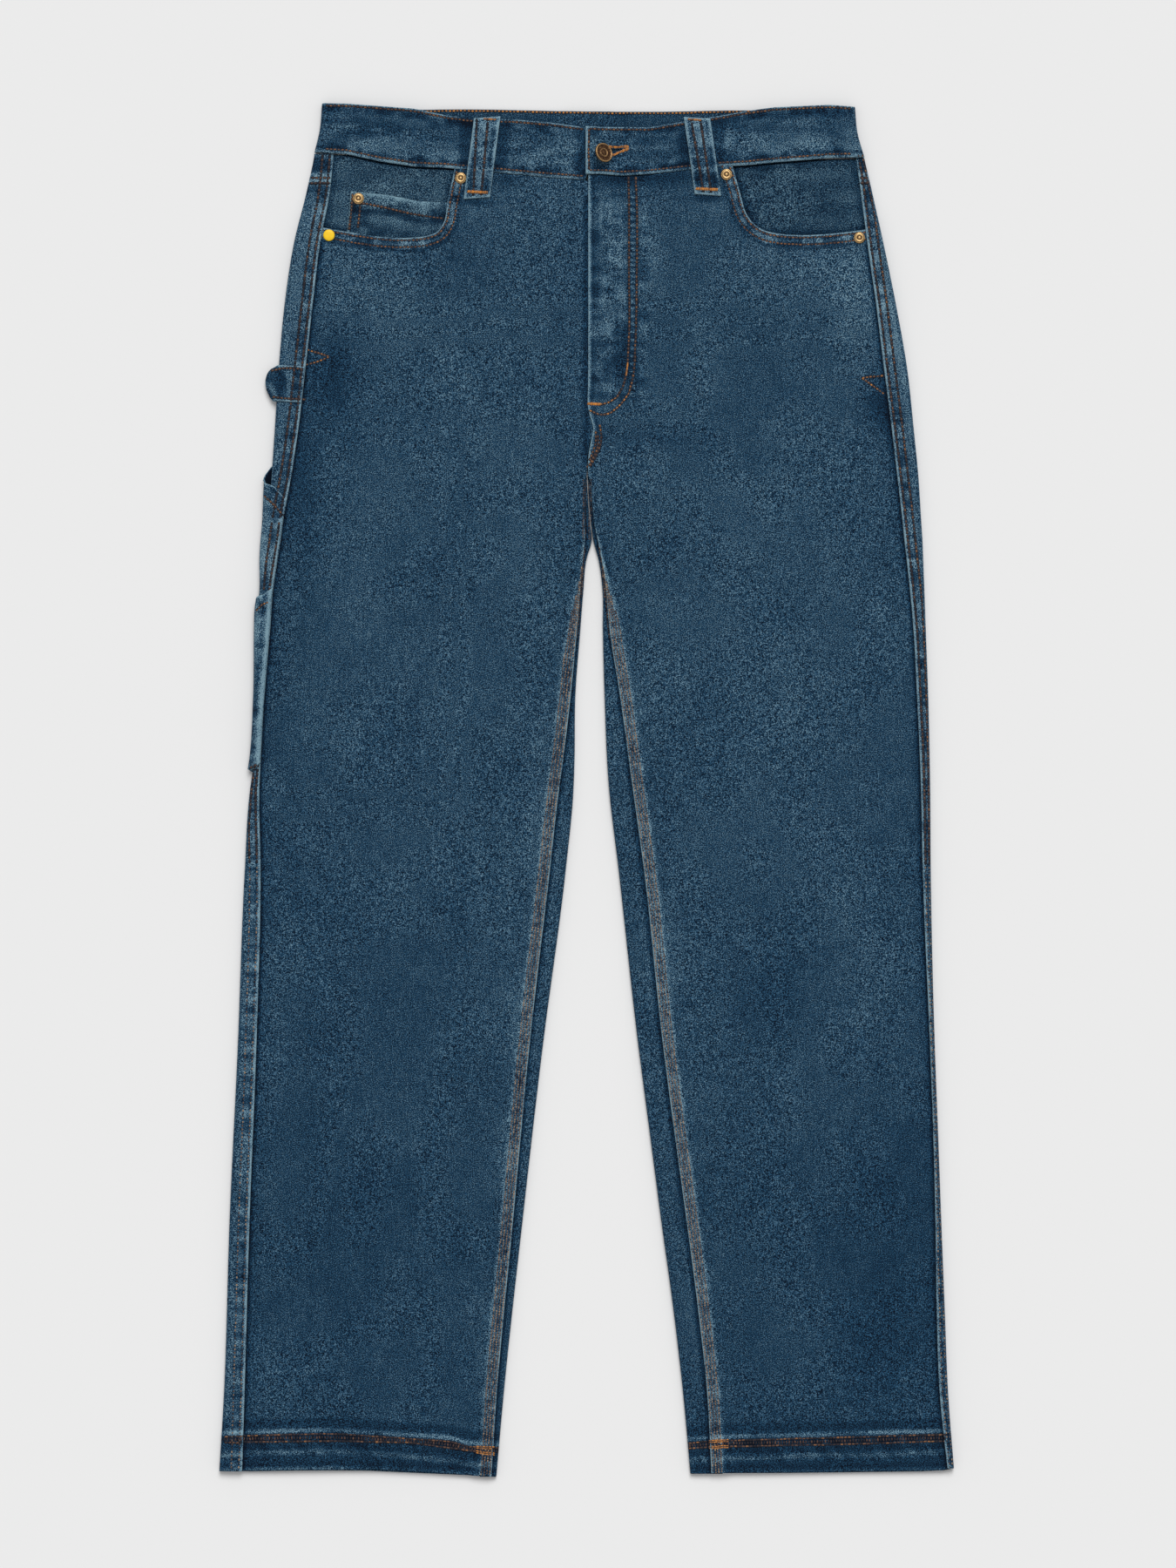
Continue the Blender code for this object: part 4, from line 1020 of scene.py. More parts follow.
def frontPanel(leg, name, mouthTable, seed):
    # Columns at set distances from the inner edge and the side seam, with even ones between, and rows
    # by height. The skin is the lay's height plus the edge's roll, the fell and its ropes, and the hem.
    nominal = panelRows(front["rowSteps"])[:, None]
    inner = innerEdge(leg, nominal)
    seam = leg.sideSeam(nominal)
    hidden = leg.hiddenEdge(nominal)
    offsets = np.array(front["fromInner"])[None, :]
    nearInner = inner + leg.sign * offsets
    nearSeam = seam - leg.sign * np.array(front["fromSeam"])[None, :]
    shares = np.linspace(0, 1, front["middle"] + 2)[None, 1:-1]
    middle = nearInner[:, -1:] * (1 - shares) + nearSeam[:, :1] * shares
    x = np.concatenate([nearInner, middle, nearSeam, seam, (seam + hidden) / 2, hidden], axis=1)
    y = withHem(nominal + (bandLow(leg, x) - cloth["bandSide"]) * topFade(nominal, cloth["bandSide"]), x)
    inward = leg.sign * (x - inner)
    fromSeam = leg.sign * (seam - x)

    outline = smoothPath(mouthTable)
    path = offsetPath(outline, -1.8 * leg.sign)
    past = outline[-1, 0] + leg.sign * front["cutMargin"]
    above = outline[0, 1] + front["cutMargin"]
    corners = [(past, path[-1, 1]), (past, above), (path[0, 0], above)]
    x, y, keep = cutAlong(x, y, np.concatenate([path, corners]), path)

    legStarts, legRamp = front["legStarts"]
    onLeg = softStep((legStarts - nominal) / legRamp)
    edgeShows = 1 - 0.85 * plateau(nominal, 206.0, 250.0, 10.0)
    edgeRoll = -0.55 * np.exp(-((inward / 0.45) ** 2))
    fell = inward / fellShare(leg, nominal)
    ropes = pucker(nominal + 0 * x, fell, 0.5, 9.5, seed, 4.6)
    fellRelief = 0.22 * onLeg * ropes - 0.3 * onLeg * bell(fell, 11.0, 1.4)
    z = topHeight(x, y) + frontRaise(leg, inward, nominal) + edgeRoll + fellRelief
    z = z + hemForm(x, y, seed + 5)
    sideRopes = pucker(nominal + 0 * x, fromSeam, 0.0, 3.0, seed + 7, 7.0)
    z = z + 0.10 * sideRopes * (fromSeam > 0)
    worn = wearAndShadeAt(x, y) + hemWear(x, y, seed + 5)
    edgeRim = rim(inward) * np.where(onLeg > 0.5, unevenWear(nominal + 0 * x, seed + 20), 1.0)
    worn = worn + edgeRim * np.where(leg.sign < 0, onLeg, edgeShows) + 0.26 * onLeg * ropes
    fellFade, fellEnd = front["fellWear"][leg.side]
    worn = worn + fellFade * onLeg * plateau(fell, 0.0, 8.6, 1.5)
    worn = worn + fellEnd * onLeg * bell(fell, 9.6, 1.2) * unevenWear(nominal + 0 * x, seed + 22, 7.0)
    # Painted shadow on the panel beside the lapped side seam's edge
    worn = worn - 0.75 * np.exp(-((fromSeam / 1.9) ** 2)) - 0.08 * np.exp(-((fromSeam / 9.0) ** 2))
    if leg.sign < 0:
        # Painted shadow beside the fly's overlapping edge
        worn = worn - 0.4 * bell(x, -0.8, 2.4) * plateau(nominal, 262.0, 486.0, 8.0)
    else:
        onFly = plateau(nominal, *front["flySpan"])
        drift = 3.0 * alongNoise(nominal, 22.0, seed + 13)
        ladder = np.sin((nominal + drift) * 2 * math.pi / front["ladderPitch"])
        flyRopes = ladder * plateau(inward, 34.0, 36.8, 1.6)
        besideFly = 0.3 * pucker(nominal + 0 * x, inward, 39.0, 46.0, seed + 15, 5.0)
        streaks = 0.02 + 0.22 * softNoise(x, y, 3.0, 30.0, 31) + 0.30 * softNoise(x, y, 9.0, 4.2, 32)
        worn = worn + onFly * (0.5 * flyRopes + besideFly + streaks * plateau(inward, 1.5, 29.0, 4.0))
        worn = worn + onFly * 0.28 * bell(inward, 17.5, 1.5) * unevenWear(nominal + 0 * x, seed + 24)
        # Painted shade in the grooves of the fly's two stitched rows
        worn = worn - onFly * 0.25 * sum(bell(inward, row, 0.9) for row in front["flyRows"])
    points = np.stack([x, y, z], -1)

    # The turned edge of the pocket mouth, a narrow band along it
    band = evenly(outline, front["mouthStep"])
    nearBand = (leg.sign * (leg.sideSeam(band[:, 1]) - band[:, 0]) > -1.0) & (band[:, 1] < 500.0)
    band = band[nearBand]
    along = np.arange(len(band)) * front["mouthStep"]
    profile = np.array(front["mouthHem"])
    outward = -leg.sign * leftward(band)
    bandX = band[:, None, 0] + outward[:, None, 0] * profile[None, :, 0]
    bandY = band[:, None, 1] + outward[:, None, 1] * profile[None, :, 0]
    alongGrid = along[:, None] + 0 * bandX
    acrossGrid = profile[None, :, 0] + 0 * bandX
    bandRopes = pucker(alongGrid, acrossGrid, 0.8, 8.6, seed + 9, 5.0)
    bandZ = topHeight(bandX, bandY) + profile[None, :, 1] + 0.16 * bandRopes
    bandRim = rim(acrossGrid, 1.6, 1.2, 0.1) * unevenWear(alongGrid, seed + 26)
    bandWearAndShade = wearAndShadeAt(bandX, bandY) + bandRim + 0.5 * bandRopes
    bandWearAndShade = bandWearAndShade + 0.30 * plateau(acrossGrid, 3.8, 6.0, 1.0) - 0.26 * bell(acrossGrid, 10.2, 1.5)
    # Painted shade in the grooves of the mouth's two stitched rows
    bandWearAndShade = bandWearAndShade - 0.30 * bell(acrossGrid, 2.4, 0.8) - 0.22 * bell(acrossGrid, 7.8, 0.8)
    mouthBand = np.stack([bandX, bandY, bandZ], -1)
    if leg.sign < 0:
        points, worn, keep = points[:, ::-1], worn[:, ::-1], keep[:, ::-1]
    # Faces look up where columns run towards +X and rows towards -Y
    across = mouthBand[0, -1] - mouthBand[0, 0]
    down = mouthBand[1, 0] - mouthBand[0, 0]
    if np.cross(down, across)[2] < 0:
        mouthBand, bandWearAndShade = mouthBand[:, ::-1], bandWearAndShade[:, ::-1]
    clothPiece(
        "denim_" + name,
        [name],
        [(points, worn, keep), (mouthBand, bandWearAndShade, None)],
        cloth["wall"],
        denim,
    )


frontPanel(rightLeg, "front_panel_right", mouthRight, 100)
frontPanel(leftLeg, "front_panel_left", mouthLeft, 140)
print("front panels ready")

# Back panels and yokes

back = {
    "strip": [0, 0.02, 0.045, 0.08, 0.12, 0.17, 0.23, 0.3, 0.38, 0.47, 0.57, 0.68, 0.8, 0.9, 1.0],
    "foldTurns": 10,
    "under": [12.0, 26.0, 40.0, 52.0, 66.0, 80.0, 100.0, 118.0, 134.0],
    "underMiddle": 4,
    "innerArc": 9,
    "innerTongue": 8,
    "leastTongue": 1.6,  # so that columns stay apart above the crotch
    "leastArc": 3.2,
    "fullDrop": 26.0,  # distance from the side fold where the hem's unevenness is full
    "sideRows": [2.8, 8.6],  # stitching on the lapped side seam, from its edge
}


def outerPath(leg, y, share, level, puff=0.0):
    # Half a turn round the outer fold, from its top to its bottom
    radius = leg.foldRadius(y)
    centreX = leg.outerFold(y) - leg.sign * radius
    high = stripHeight(centreX, y) + layer * level
    low = lift(leg, radius, y, level)
    turn = math.pi * share
    x = centreX + leg.sign * (radius + layer * level + puff) * np.sin(turn)
    z = (high + low) / 2 + (high - low) / 2 * np.cos(turn)
    return x, z


def innerEnd(leg, y):
    # The inner end of a back panel: turn round the inner fold, tongue beyond it, radius and centre
    turn = math.pi / 2 * softStep((cloth["crotchOpens"] - y) / (cloth["crotchOpens"] - cloth["crotch"]))
    turn = turn + math.pi / 2 * softStep((cloth["crotch"] - y) / (cloth["crotch"] - cloth["crotchCloses"]))
    radius = topHeight(leg.innerFold(y), y) / 2
    foldX = np.where(y > cloth["crotch"], leg.sign * cloth["legGap"] / 2, leg.innerFold(y))
    centreX = foldX + leg.sign * radius * np.sin(np.minimum(turn, math.pi / 2))
    closed = softStep((cloth["tongueStarts"] - y) / (cloth["tongueStarts"] - cloth["tongueFull"]))
    tongue = (np.abs(leg.inseam(y) - centreX) + cloth["seamTongue"]) * closed
    return turn, tongue, radius, centreX


def innerPath(leg, y, fromEnd):
    # A point at a distance along the cloth from the back panel's inner edge
    turn, tongue, radius, centreX = innerEnd(leg, y)
    arc = radius * turn
    onTongue = fromEnd < tongue
    onArc = (fromEnd >= tongue) & (fromEnd < tongue + arc)
    angle = np.where(onArc, turn - (fromEnd - tongue) / radius, 0.0)
    angle = np.where(onTongue, turn, angle)
    x = centreX - leg.sign * radius * np.sin(angle)
    z = radius * (1 - np.cos(angle))
    past = np.where(onTongue, tongue - fromEnd, 0.0)
    x = x - leg.sign * past * np.cos(angle)
    z = z + past * np.sin(angle)
    x = x + leg.sign * np.maximum(fromEnd - tongue - arc, 0.0)
    z = np.where(onTongue & (turn > 0.99 * math.pi), topHeight(x, y), z)
    return x, z


def backGrid(leg, rowsAt, seed):
    # Columns from the side seam on top, round the outer fold, under the leg and round the inner fold.
    # rowsAt gives the height of every row at a distance from the fold.
    columns = []
    sideY = rowsAt(0.0)
    for share in back["strip"][:-1]:
        seam = leg.sideSeam(sideY)
        end = leg.outerFold(sideY) - leg.sign * leg.foldRadius(sideY)
        x = seam + (end - seam) * share
        columns.append((x, sideY, stripHeight(x, sideY)))
    for turn in range(back["foldTurns"] + 1):
        x, z = outerPath(leg, sideY, turn / back["foldTurns"], 0)
        columns.append((x, sideY, z))
    for step in back["under"]:
        y = rowsAt(step)
        columns.append((leg.outerFold(y) - leg.sign * step, y, lift(leg, step, y, 0)))
    y = rowsAt(cloth["yokeSpan"])
    turn, tongue, radius = innerEnd(leg, y)[:3]
    tongue, arc = np.maximum(tongue, back["leastTongue"]), np.maximum(radius * turn, back["leastArc"])
    outer = leg.outerFold(y) - leg.sign * back["under"][-1]
    innerX = innerPath(leg, y, tongue + arc)[0]
    outerY = rowsAt(back["under"][-1])
    for index in range(1, back["underMiddle"] + 1):
        share = index / (back["underMiddle"] + 1)
        columns.append((outer * (1 - share) + innerX * share, outerY * (1 - share) + y * share, 0.0 * y))
    stops = [tongue + arc * (1 - index / back["innerArc"]) for index in range(back["innerArc"] + 1)]
    stops += [tongue * (1 - index / back["innerTongue"]) for index in range(1, back["innerTongue"] + 1)]
    for fromEnd in stops:
        x, z = innerPath(leg, y, fromEnd)
        columns.append((x, y, z))
    points = np.stack([np.stack([x, y + 0 * x, z + 0 * x], -1) for x, y, z in columns], 1)

    x, y = points[..., 0], points[..., 1]
    onStrip = np.arange(points.shape[1])[None, :] < len(back["strip"])
    fromSeam = leg.sign * (x - leg.sideSeam(y))
    ropes = pucker(y, fromSeam, 0.6, 9.6, seed, 3.8)
    fell = plateau(fromSeam, 0.8, 9.2, 1.6) * onStrip
    edge = np.exp(-((fromSeam / 0.5) ** 2)) * onStrip
    points[..., 2] += 0.35 * fell + 0.24 * ropes * fell - 0.45 * edge
    seamRim = rim(fromSeam, 1.8, 1.3, 0.15) * unevenWear(y, seed + 30)
    paler = 0.18 if leg.sign < 0 else 0.12 + 0.3 * bell(y, 356.0, 60.0)
    worn = wearAndShadeAt(x, y) + onStrip * (seamRim + 0.44 * ropes + 0.08 * fell + paler)
    # Painted shade in the grooves of the side seam's two stitched rows
    worn = worn + onStrip * (-0.22 * bell(fromSeam, 3.0, 0.8) - 0.2 * bell(fromSeam, 8.6, 0.8))
    fromInseam = leg.sign * (leg.inseam(y) - x)
    # Painted shadow on the back beside the front's felled edge at the inseam
    besideFell = (points[..., 2] > 1.5) * (y < 225.0) * (np.abs(fromInseam) < 12.0)
    worn = worn - 0.8 * besideFell * np.exp(-((np.maximum(fromInseam, 0.0) / 1.6) ** 2))
    foldEdge = np.abs(np.arange(points.shape[1])[None, :] - len(back["strip"]) - back["foldTurns"] / 2 + 2)
    worn = worn + 0.16 * bell(foldEdge, 0.0, 3.0)
    return points, worn


def backPanel(leg, name, seed):
    # Rows run from the yoke's line, which drops towards the middle, to the hem
    nominal = panelRows([(cloth["yokeSide"], -478.0, 2.9), (-478.0, -541.0, 1.7)])
    isTop = nominal == nominal[0]

    def rowsAt(step):
        line = cloth["yokeSide"] - cloth["yokeDrop"] * min(step, cloth["yokeSpan"]) / cloth["yokeSpan"]
        y = nominal + (line - cloth["yokeSide"]) * topFade(nominal, cloth["yokeSide"])
        y = y - np.where(isTop, cloth["gap"] / 2, 0.0)
        least, more = cloth["backHemDrop"]
        if step >= cloth["yokeSpan"]:
            return withHem(y, leg.innerFold(nominal))
        x = leg.outerFold(nominal) - leg.sign * step
        return withHem(y, x, (least + more * bell(x, -112.0, 45.0)) * min(step / back["fullDrop"], 1.0))

    points, worn = backGrid(leg, rowsAt, seed)
    x, y = points[..., 0], points[..., 1]
    points[..., 2] += hemForm(x, y, seed + 5) * (points[..., 2] > 1.5)
    # Hem wear, and painted shadow under the yoke's lapped edge
    worn = worn + hemWear(x, y, seed + 5) - 0.5 * bell(y, 475.4, 2.4) * (points[..., 2] > 2.0)
    sheets = [(points[:, ::leg.sign], worn[:, ::leg.sign], None)]
    clothPiece("denim_" + name, [name], sheets, cloth["wall"], denim)


def backYoke(leg, name, seed):
    # Rows run from the band's lower edge to the yoke's line
    fold = float(leg.outerFold(cloth["bandSide"]))
    shares = np.linspace(0, 1, 14)

    def rowsAt(step):
        line = cloth["yokeSide"] - cloth["yokeDrop"] * min(step, cloth["yokeSpan"]) / cloth["yokeSpan"]
        place = fold - leg.sign * step if step < cloth["yokeSpan"] else 0.0
        start = straight(bandBack, 2)(place) - 3 * cloth["gap"]
        return start * (1 - shares) + (line + cloth["gap"] / 2) * shares

    points, worn = backGrid(leg, rowsAt, seed)
    y = points[..., 1]
    lap = plateau(y, 478.0, 486.0, 1.6) * (points[..., 2] > 2.0)
    points[..., 2] += 0.4 * lap
    worn = worn + 0.4 * lap - 0.3 * bell(y, 490.5, 2.0) - 0.45 * plateau(y, 492.0, 500.0, 3.0)
    worn = worn + 0.5 * (bell(y, 487.4, 1.0) + bell(y, 478.8, 1.0)) * (points[..., 2] > 2.0)
    sheets = [(points[:, ::leg.sign], worn[:, ::leg.sign], None)]
    clothPiece("denim_" + name, [name], sheets, cloth["wall"], denim)


backPanel(rightLeg, "back_panel_right", 200)
backPanel(leftLeg, "back_panel_left", 240)
backYoke(rightLeg, "back_yoke_right", 260)
backYoke(leftLeg, "back_yoke_left", 270)
print("back ready")

# Waistband

bandSettings = {
    "rows": [0, 0.012, 0.03, 0.05, 0.075, 0.1, 0.14, 0.2, 0.28, 0.36, 0.44, 0.5, 0.56, 0.62, 0.7]
    + [0.78, 0.84, 0.88, 0.91, 0.935, 0.96, 0.978, 0.99, 1.0],
    "step": 2.4,
    "backStep": 7.0,
    "foldTurns": 10,
    "width": 38.0,
    "endColumns": 60,  # columns counted as the lapped end on top
    "besideLoops": [(-98.0, -90.0), (-72.0, -64.5), (76.0, 83.0), (101.0, 106.5)],  # spans of x with painted shade beside the loops
    "hole": [
        (15.5, 501.6), (20.0, 502.8), (24.5, 505.0), (31.6, 507.6), (24.0, 506.8), (15.5, 506.6),
    ],
}
backLoops = {"belt_loop_back_right": -105.0, "belt_loop_back_centre": 0.0, "belt_loop_back_left": 105.0}
backLoopWidth = 18.0


def backLift(x):
    height = 0.0 * x
    edge = backLoopWidth / 2 + 1.0
    for place in backLoops.values():
        height = height + (cloth["loopWall"] + cloth["gap"]) * plateau(x, place - edge, place + edge, 14.0)
    return height


def bandHeight(x, y):
    # The cloth under the band, and how much thicker the band is
    return topHeight(x, y) + bandStep


def waistband():
    # Columns run from the covered end over the front, in half a circle round the right fold, along the
    # back, round the left fold and up to the button. Rows are shares of the band's width.
    shares = np.array(bandSettings["rows"])
    runs = {"right": bandRight, "left": bandLeft, "back": bandBack}
    tops = {run: straight(table, 1) for run, table in runs.items()}
    lows = {run: straight(table, 2) for run, table in runs.items()}
    columns = []

    def at(run, x):
        return tops[run](x) * (1 - shares) + lows[run](x) * shares

    def folded(run, fold, turns):
        for turn in turns:
            edge = fold(shares)
            y = at(run, edge)
            radius = bandHeight(edge, y) / 2
            x = edge - np.copysign(radius, edge) * (1 - np.sin(math.pi * turn))
            columns.append((x, y, radius * (1 + np.cos(math.pi * turn))))

    turns = np.linspace(0, 1, bandSettings["foldTurns"] + 1)
    underlap = np.linspace(cloth["bandOverlap"], 0.3, 12)
    for x in np.concatenate([underlap, np.arange(-1.5, -207.0, -bandSettings["step"])]):
        y = at("right", x)
        columns.append((x + 0 * y, y, bandHeight(x, y)))
    folded("right", through(bandFolds, 1), turns)
    for x in np.arange(-200.0, 203.0, bandSettings["backStep"]):
        y = at("back", x)
        columns.append((x + 0 * y, y, backLift(x) + 0 * y))
    folded("left", through(bandFolds, 2), turns[::-1])
    lastRun = np.array([5.0, 3.4, 2.2, 1.3, 0.6, 0.0, -0.5, -0.9, -1.2])
    for x in np.concatenate([np.arange(208.0, 5.5, -bandSettings["step"]), lastRun]):
        y = at("left", x)
        columns.append((x + 0 * y, y, bandHeight(x, y) + leftBandRaise(x)))
    points = np.stack([np.stack([x + 0 * z, y, z], -1) for x, y, z in columns], 1)
    x, y = points[..., 0], points[..., 1]
    count = points.shape[1]
    index = np.arange(count)[None, :]
    onTop = points[..., 2] > 3.0
    fromTop = shares[:, None] * bandSettings["width"] + 0 * x
    fromLow = (1 - shares[:, None]) * bandSettings["width"] + 0 * x
    atLeftEnd = index > count - bandSettings["endColumns"]
    fromEnd = np.where(atLeftEnd, x + 1.2, 99.0)
    along = np.concatenate([[0.0], np.cumsum(np.hypot(np.diff(x[12]), np.diff(y[12])))])[None, :] + 0 * x
    ropes = pucker(along, fromTop, 0.6, 5.0, 300, 6.0) + pucker(along, fromLow, 0.6, 6.0, 304, 6.0)
    edges = sum(np.exp(-((inside / 0.5) ** 2)) for inside in (fromTop, fromLow, fromEnd))
    crown = 0.35 * bell(fromTop, 1.2, 1.2) + 0.45 * bell(fromLow, 1.6, 1.5) + 0.3 * bell(fromEnd, 1.4, 1.2)
    grooves = 0.2 * bell(fromTop, 2.4, 0.7) + 0.22 * bell(fromLow, 3.4, 0.7)
    points[..., 2] += onTop * (crown - grooves - 0.6 * edges + 0.12 * ropes)
    worn = wearAndShadeAt(x, y) + rim(fromTop, 1.1, 0.8, 0.0) * unevenWear(along, 314) + rim(fromEnd, 2.2, 1.5, 0.0)
    worn = worn + rim(fromLow, 1.9, 1.15, 0.0) * unevenWear(along, 316)
    worn = worn + 0.34 * ropes - 0.26 * bell(fromTop, 4.0, 2.0) - 0.30 * bell(fromLow, 4.2, 1.3)
    # Painted shadow on the right half beside the lapped left end
    worn = worn - 0.42 * (~atLeftEnd) * plateau(x, -5.0, 4.0, 7.0) * (index < count // 2)
    # Painted shade on the band beside the front loops
    for lowX, highX in bandSettings["besideLoops"]:
        worn = worn - 0.36 * plateau(x, lowX, highX, 4.5)
    worn = worn + 0.04 + 0.20 * softNoise(x, y, 22.0, 3.6, 310) + 0.16 * softNoise(x, y, 7.0, 4.0, 311)
    worn = np.where(onTop, worn, wearAndShadeAt(x, y) - 0.1)
    path = smoothPath(bandSettings["hole"] + bandSettings["hole"][:1], 0.6)
    onEnd = atLeftEnd & (x > -2.0) & (x < 60.0)
    newX, newY, keep = cutAlong(np.where(onEnd, x, 999.0), y, path, path)
    points[..., 0], points[..., 1] = np.where(onEnd, newX, x), np.where(onEnd, newY, y)
    clothPiece(
        "denim_waistband",
        ["waistband"],
        [(points[:, ::-1], worn[:, ::-1], keep[:, ::-1])],
        cloth["bandWall"],
        denim,
    )


waistband()

# Pocket facings and coin pocket

facing = {"top": 504.0, "low": 425.0, "reach": 12.0, "rows": 40, "columns": 60}
coin = {
    "low": 430.0,
    "spread": 4.0,
    "width": 85.0,
    "shares": [0, 0.015, 0.04, 0.08, 0.13, 0.19, 0.26, 0.34, 0.42, 0.5, 0.6, 0.7, 0.8, 0.9, 1.0],
    "top": [(0.0, -187.0, 474.0), (0.35, -158.0, 471.0), (0.65, -133.0, 466.0), (1.0, -102.0, 464.5)],
}


def pocketFacing(leg, name, mouthTable, seed):
    # Rows between the band and a level, columns from the side seam to past the mouth, two layers down
    inner = mouthTable[1][0] - leg.sign * facing["reach"]
    shares = np.linspace(0, 1, facing["rows"])[:, None]
    nominal = facing["top"] * (1 - shares) + facing["low"] * shares
    insideSeam = leg.sideSeam(nominal) - leg.sign * 2.0
    across = np.linspace(0, 1, facing["columns"])[None, :]
    x = insideSeam * (1 - across) + inner * across
    x = np.concatenate([leg.hiddenEdge(nominal), x], axis=1)
    y = bandLow(leg, x) * (1 - shares) + facing["low"] * shares - 1.0 * (1 - shares)
    z = topHeight(x, y) - 2 * layer + (layer - 0.2) * softStep((y - bandLow(leg, x) + 9.0) / 8.0)
    fromSeam = leg.sign * (leg.sideSeam(y) - x)
    toMouth = nearestOn(x, y, smoothPath(mouthTable))[2]
    toBand = bandLow(leg, x) - y
    # Painted shade beside the mouth's edge, the side seam and the band, where they overhang the facing
    worn = wearAndShadeAt(x, y) - 0.42 * np.exp(-((toMouth / 3.4) ** 2)) - 0.36 * np.exp(-((fromSeam / 4.0) ** 2))
    worn = worn - 0.16 * np.exp(-((toBand / 5.0) ** 2)) + 0.16 * softNoise(x, y, 16.0, 9.0, seed)
    worn = worn + (0.16 if leg.sign < 0 else 0.0)
    points = np.stack([x, y, z], -1)
    if leg.sign > 0:
        points, worn = points[:, ::-1], worn[:, ::-1]
    clothPiece(
        "denim_" + name,
        [name],
        [(points, worn, None)],
        cloth["wall"],
        facingDenim,
    )


def coinPocket():
    # Rows are shares between a slanting top edge and a level, one layer under the front panel
    shares = np.array(coin["shares"])[:, None]
    across = np.concatenate([[0, 0.008, 0.02, 0.035, 0.06, 0.09], np.linspace(0.12, 1, 40)])[None, :]
    top = straight(coin["top"], 2)(across)
    x = straight(coin["top"], 1)(across) - coin["spread"] * shares * (1 - across)
    y = top * (1 - shares) + coin["low"] * shares
    fromTop = shares * (top - coin["low"])
    fromSide = across * coin["width"] + 0 * x
    ropes = pucker(x + 0 * y, fromTop, 0.5, 12.0, 320, 7.0)
    rolled = np.exp(-((fromTop / 0.5) ** 2)) + np.exp(-((fromSide / 0.5) ** 2))
    z = topHeight(x, y) - layer + 0.5 * plateau(fromTop, 0.8, 10.0, 2.0) - 0.5 * rolled + 0.1 * ropes
    worn = wearAndShadeAt(x, y) + rim(fromTop, 2.0, 1.25, 0.0) * unevenWear(x, 324) + rim(fromSide, 1.6, 1.25, 0.3)
    worn = worn + 0.3 * ropes + 0.26 * plateau(fromTop, 2.0, 6.0, 2.0) - 0.46 * bell(fromTop, 14.5, 2.6)
    worn = worn + 0.22 * bell(fromTop, 20.0, 4.0) * softStep((x + 176.0) / 12.0)
    # Painted shade where the pocket meets the front panel's mouth edge, at its right end and along its foot
    worn = worn - 0.26 * softStep((x + 122.0) / 14.0) - 0.22 * softStep((446.0 - y) / 8.0)
    worn = worn + 0.32 * softNoise(x, y, 7.0, 3.6, 326) + 0.10
    clothPiece(
        "denim_coin_pocket",
        ["coin_pocket"],
        [(np.stack([x, y, z], -1), worn, None)],
        cloth["wall"],
        facingDenim,
    )


pocketFacing(rightLeg, "pocket_facing_right", mouthRight, 330)
pocketFacing(leftLeg, "pocket_facing_left", mouthLeft, 340)
coinPocket()
print("facings ready")

# Belt loops

loops = {
    "front": [
        ("belt_loop_front_right", -87.2, 468.0, -79.0, 532.0),
        ("belt_loop_front_left", 95.5, 470.5, 86.8, 531.5),
    ],
    "width": 21.0,
    "bow": 1.2,
    "lean": 1.5,
    "across": [-0.5, -0.485, -0.46, -0.43, -0.38, -0.32, -0.25, -0.17, -0.08, 0.0]
    + [0.08, 0.17, 0.25, 0.32, 0.38, 0.43, 0.46, 0.485, 0.5],
    "rows": 44,
    "stitchRows": {
        "belt_loop_front_right": [(-0.14, -0.38), (0.16, 0.04)],
        "belt_loop_front_left": [(-0.15, -0.23), (0.13, 0.12)],
    },  # across the loop at its low and high end, as shares of its width
    "tacks": {
        "belt_loop_front_right": [(0.075, (7.6, 7.6), 2.6, (0.6, 1.0)), (0.975, (3.0, 7.0), 1.8, (0.5, 0.9))],
        "belt_loop_front_left": [(0.075, (8.6, 8.0), 2.6, (0.6, 1.0)), (0.975, (7.0, 3.0), 1.8, (0.5, 0.9))],
    },
}


def loopHeight(leg, x, y, share):
    # The panel or the band under it, and a bow of half a sine between its ends
    edge = bandLow(leg, x)
    onBand = softStep((y - edge + 9.0) / 7.0)
    under = topHeight(x, y) + bandStep * onBand
    return under + cloth["gap"] + cloth["loopWall"] + loops["bow"] * np.sin(math.pi * share)


def frontLoop(name, lowX, lowY, highX, highY, seed):
    # A strip along a line between its ends, rolled at its edges and dented at its tacks
    leg = rightLeg if lowX < 0 else leftLeg
    ends = np.array([0.0, 0.008, 0.02, 0.04])
    share = np.concatenate([ends, np.linspace(0.06, 0.94, loops["rows"]), 1 - ends[::-1]])[::-1, None]
    across = np.array(loops["across"])[None, :]
    x = lowX + (highX - lowX) * share + loops["width"] * across
    y = lowY + (highY - lowY) * share - loops["lean"] * across * leg.sign
    fromSide = (0.5 - np.abs(across)) * loops["width"] + 0 * x
    fromEnd = np.minimum(share, 1 - share) * (highY - lowY) + 0 * x
    rolled = np.exp(-((fromSide / 0.6) ** 2)) + np.exp(-((fromEnd / 0.6) ** 2))
    ropes = pucker(y, fromSide, 0.4, 10.0, seed, 6.0)
    tack = bell(fromEnd, 2.2, 1.2)
    z = loopHeight(leg, x, y, share) + 0.3 * bell(fromSide, 1.8, 1.6) - 0.8 * rolled
    z = z + 0.12 * ropes - 0.35 * tack
    alongSides = y + 40.0 * np.sign(across)  # the two sides wear in different places
    sideRim = rim(fromSide, 1.4, 1.35, 0.36, 4.0) * unevenWear(alongSides, seed + 4, 8.0)
    worn = wearAndShadeAt(x, y) + sideRim + rim(fromEnd, 1.4, 1.1, 0.0) + 0.45 * ropes + 0.24
    worn = worn + 0.28 * softNoise(x, y, 4.0, 7.0, seed + 2)
    worn = worn - 0.2 * plateau(share, 0.12, 0.3, 0.1) * (fromSide < 7)
    clothPiece(
        "denim_" + name,
        [name],
        [(np.stack([x, y, z], -1), worn, None)],
        cloth["loopWall"],
        denim,
    )


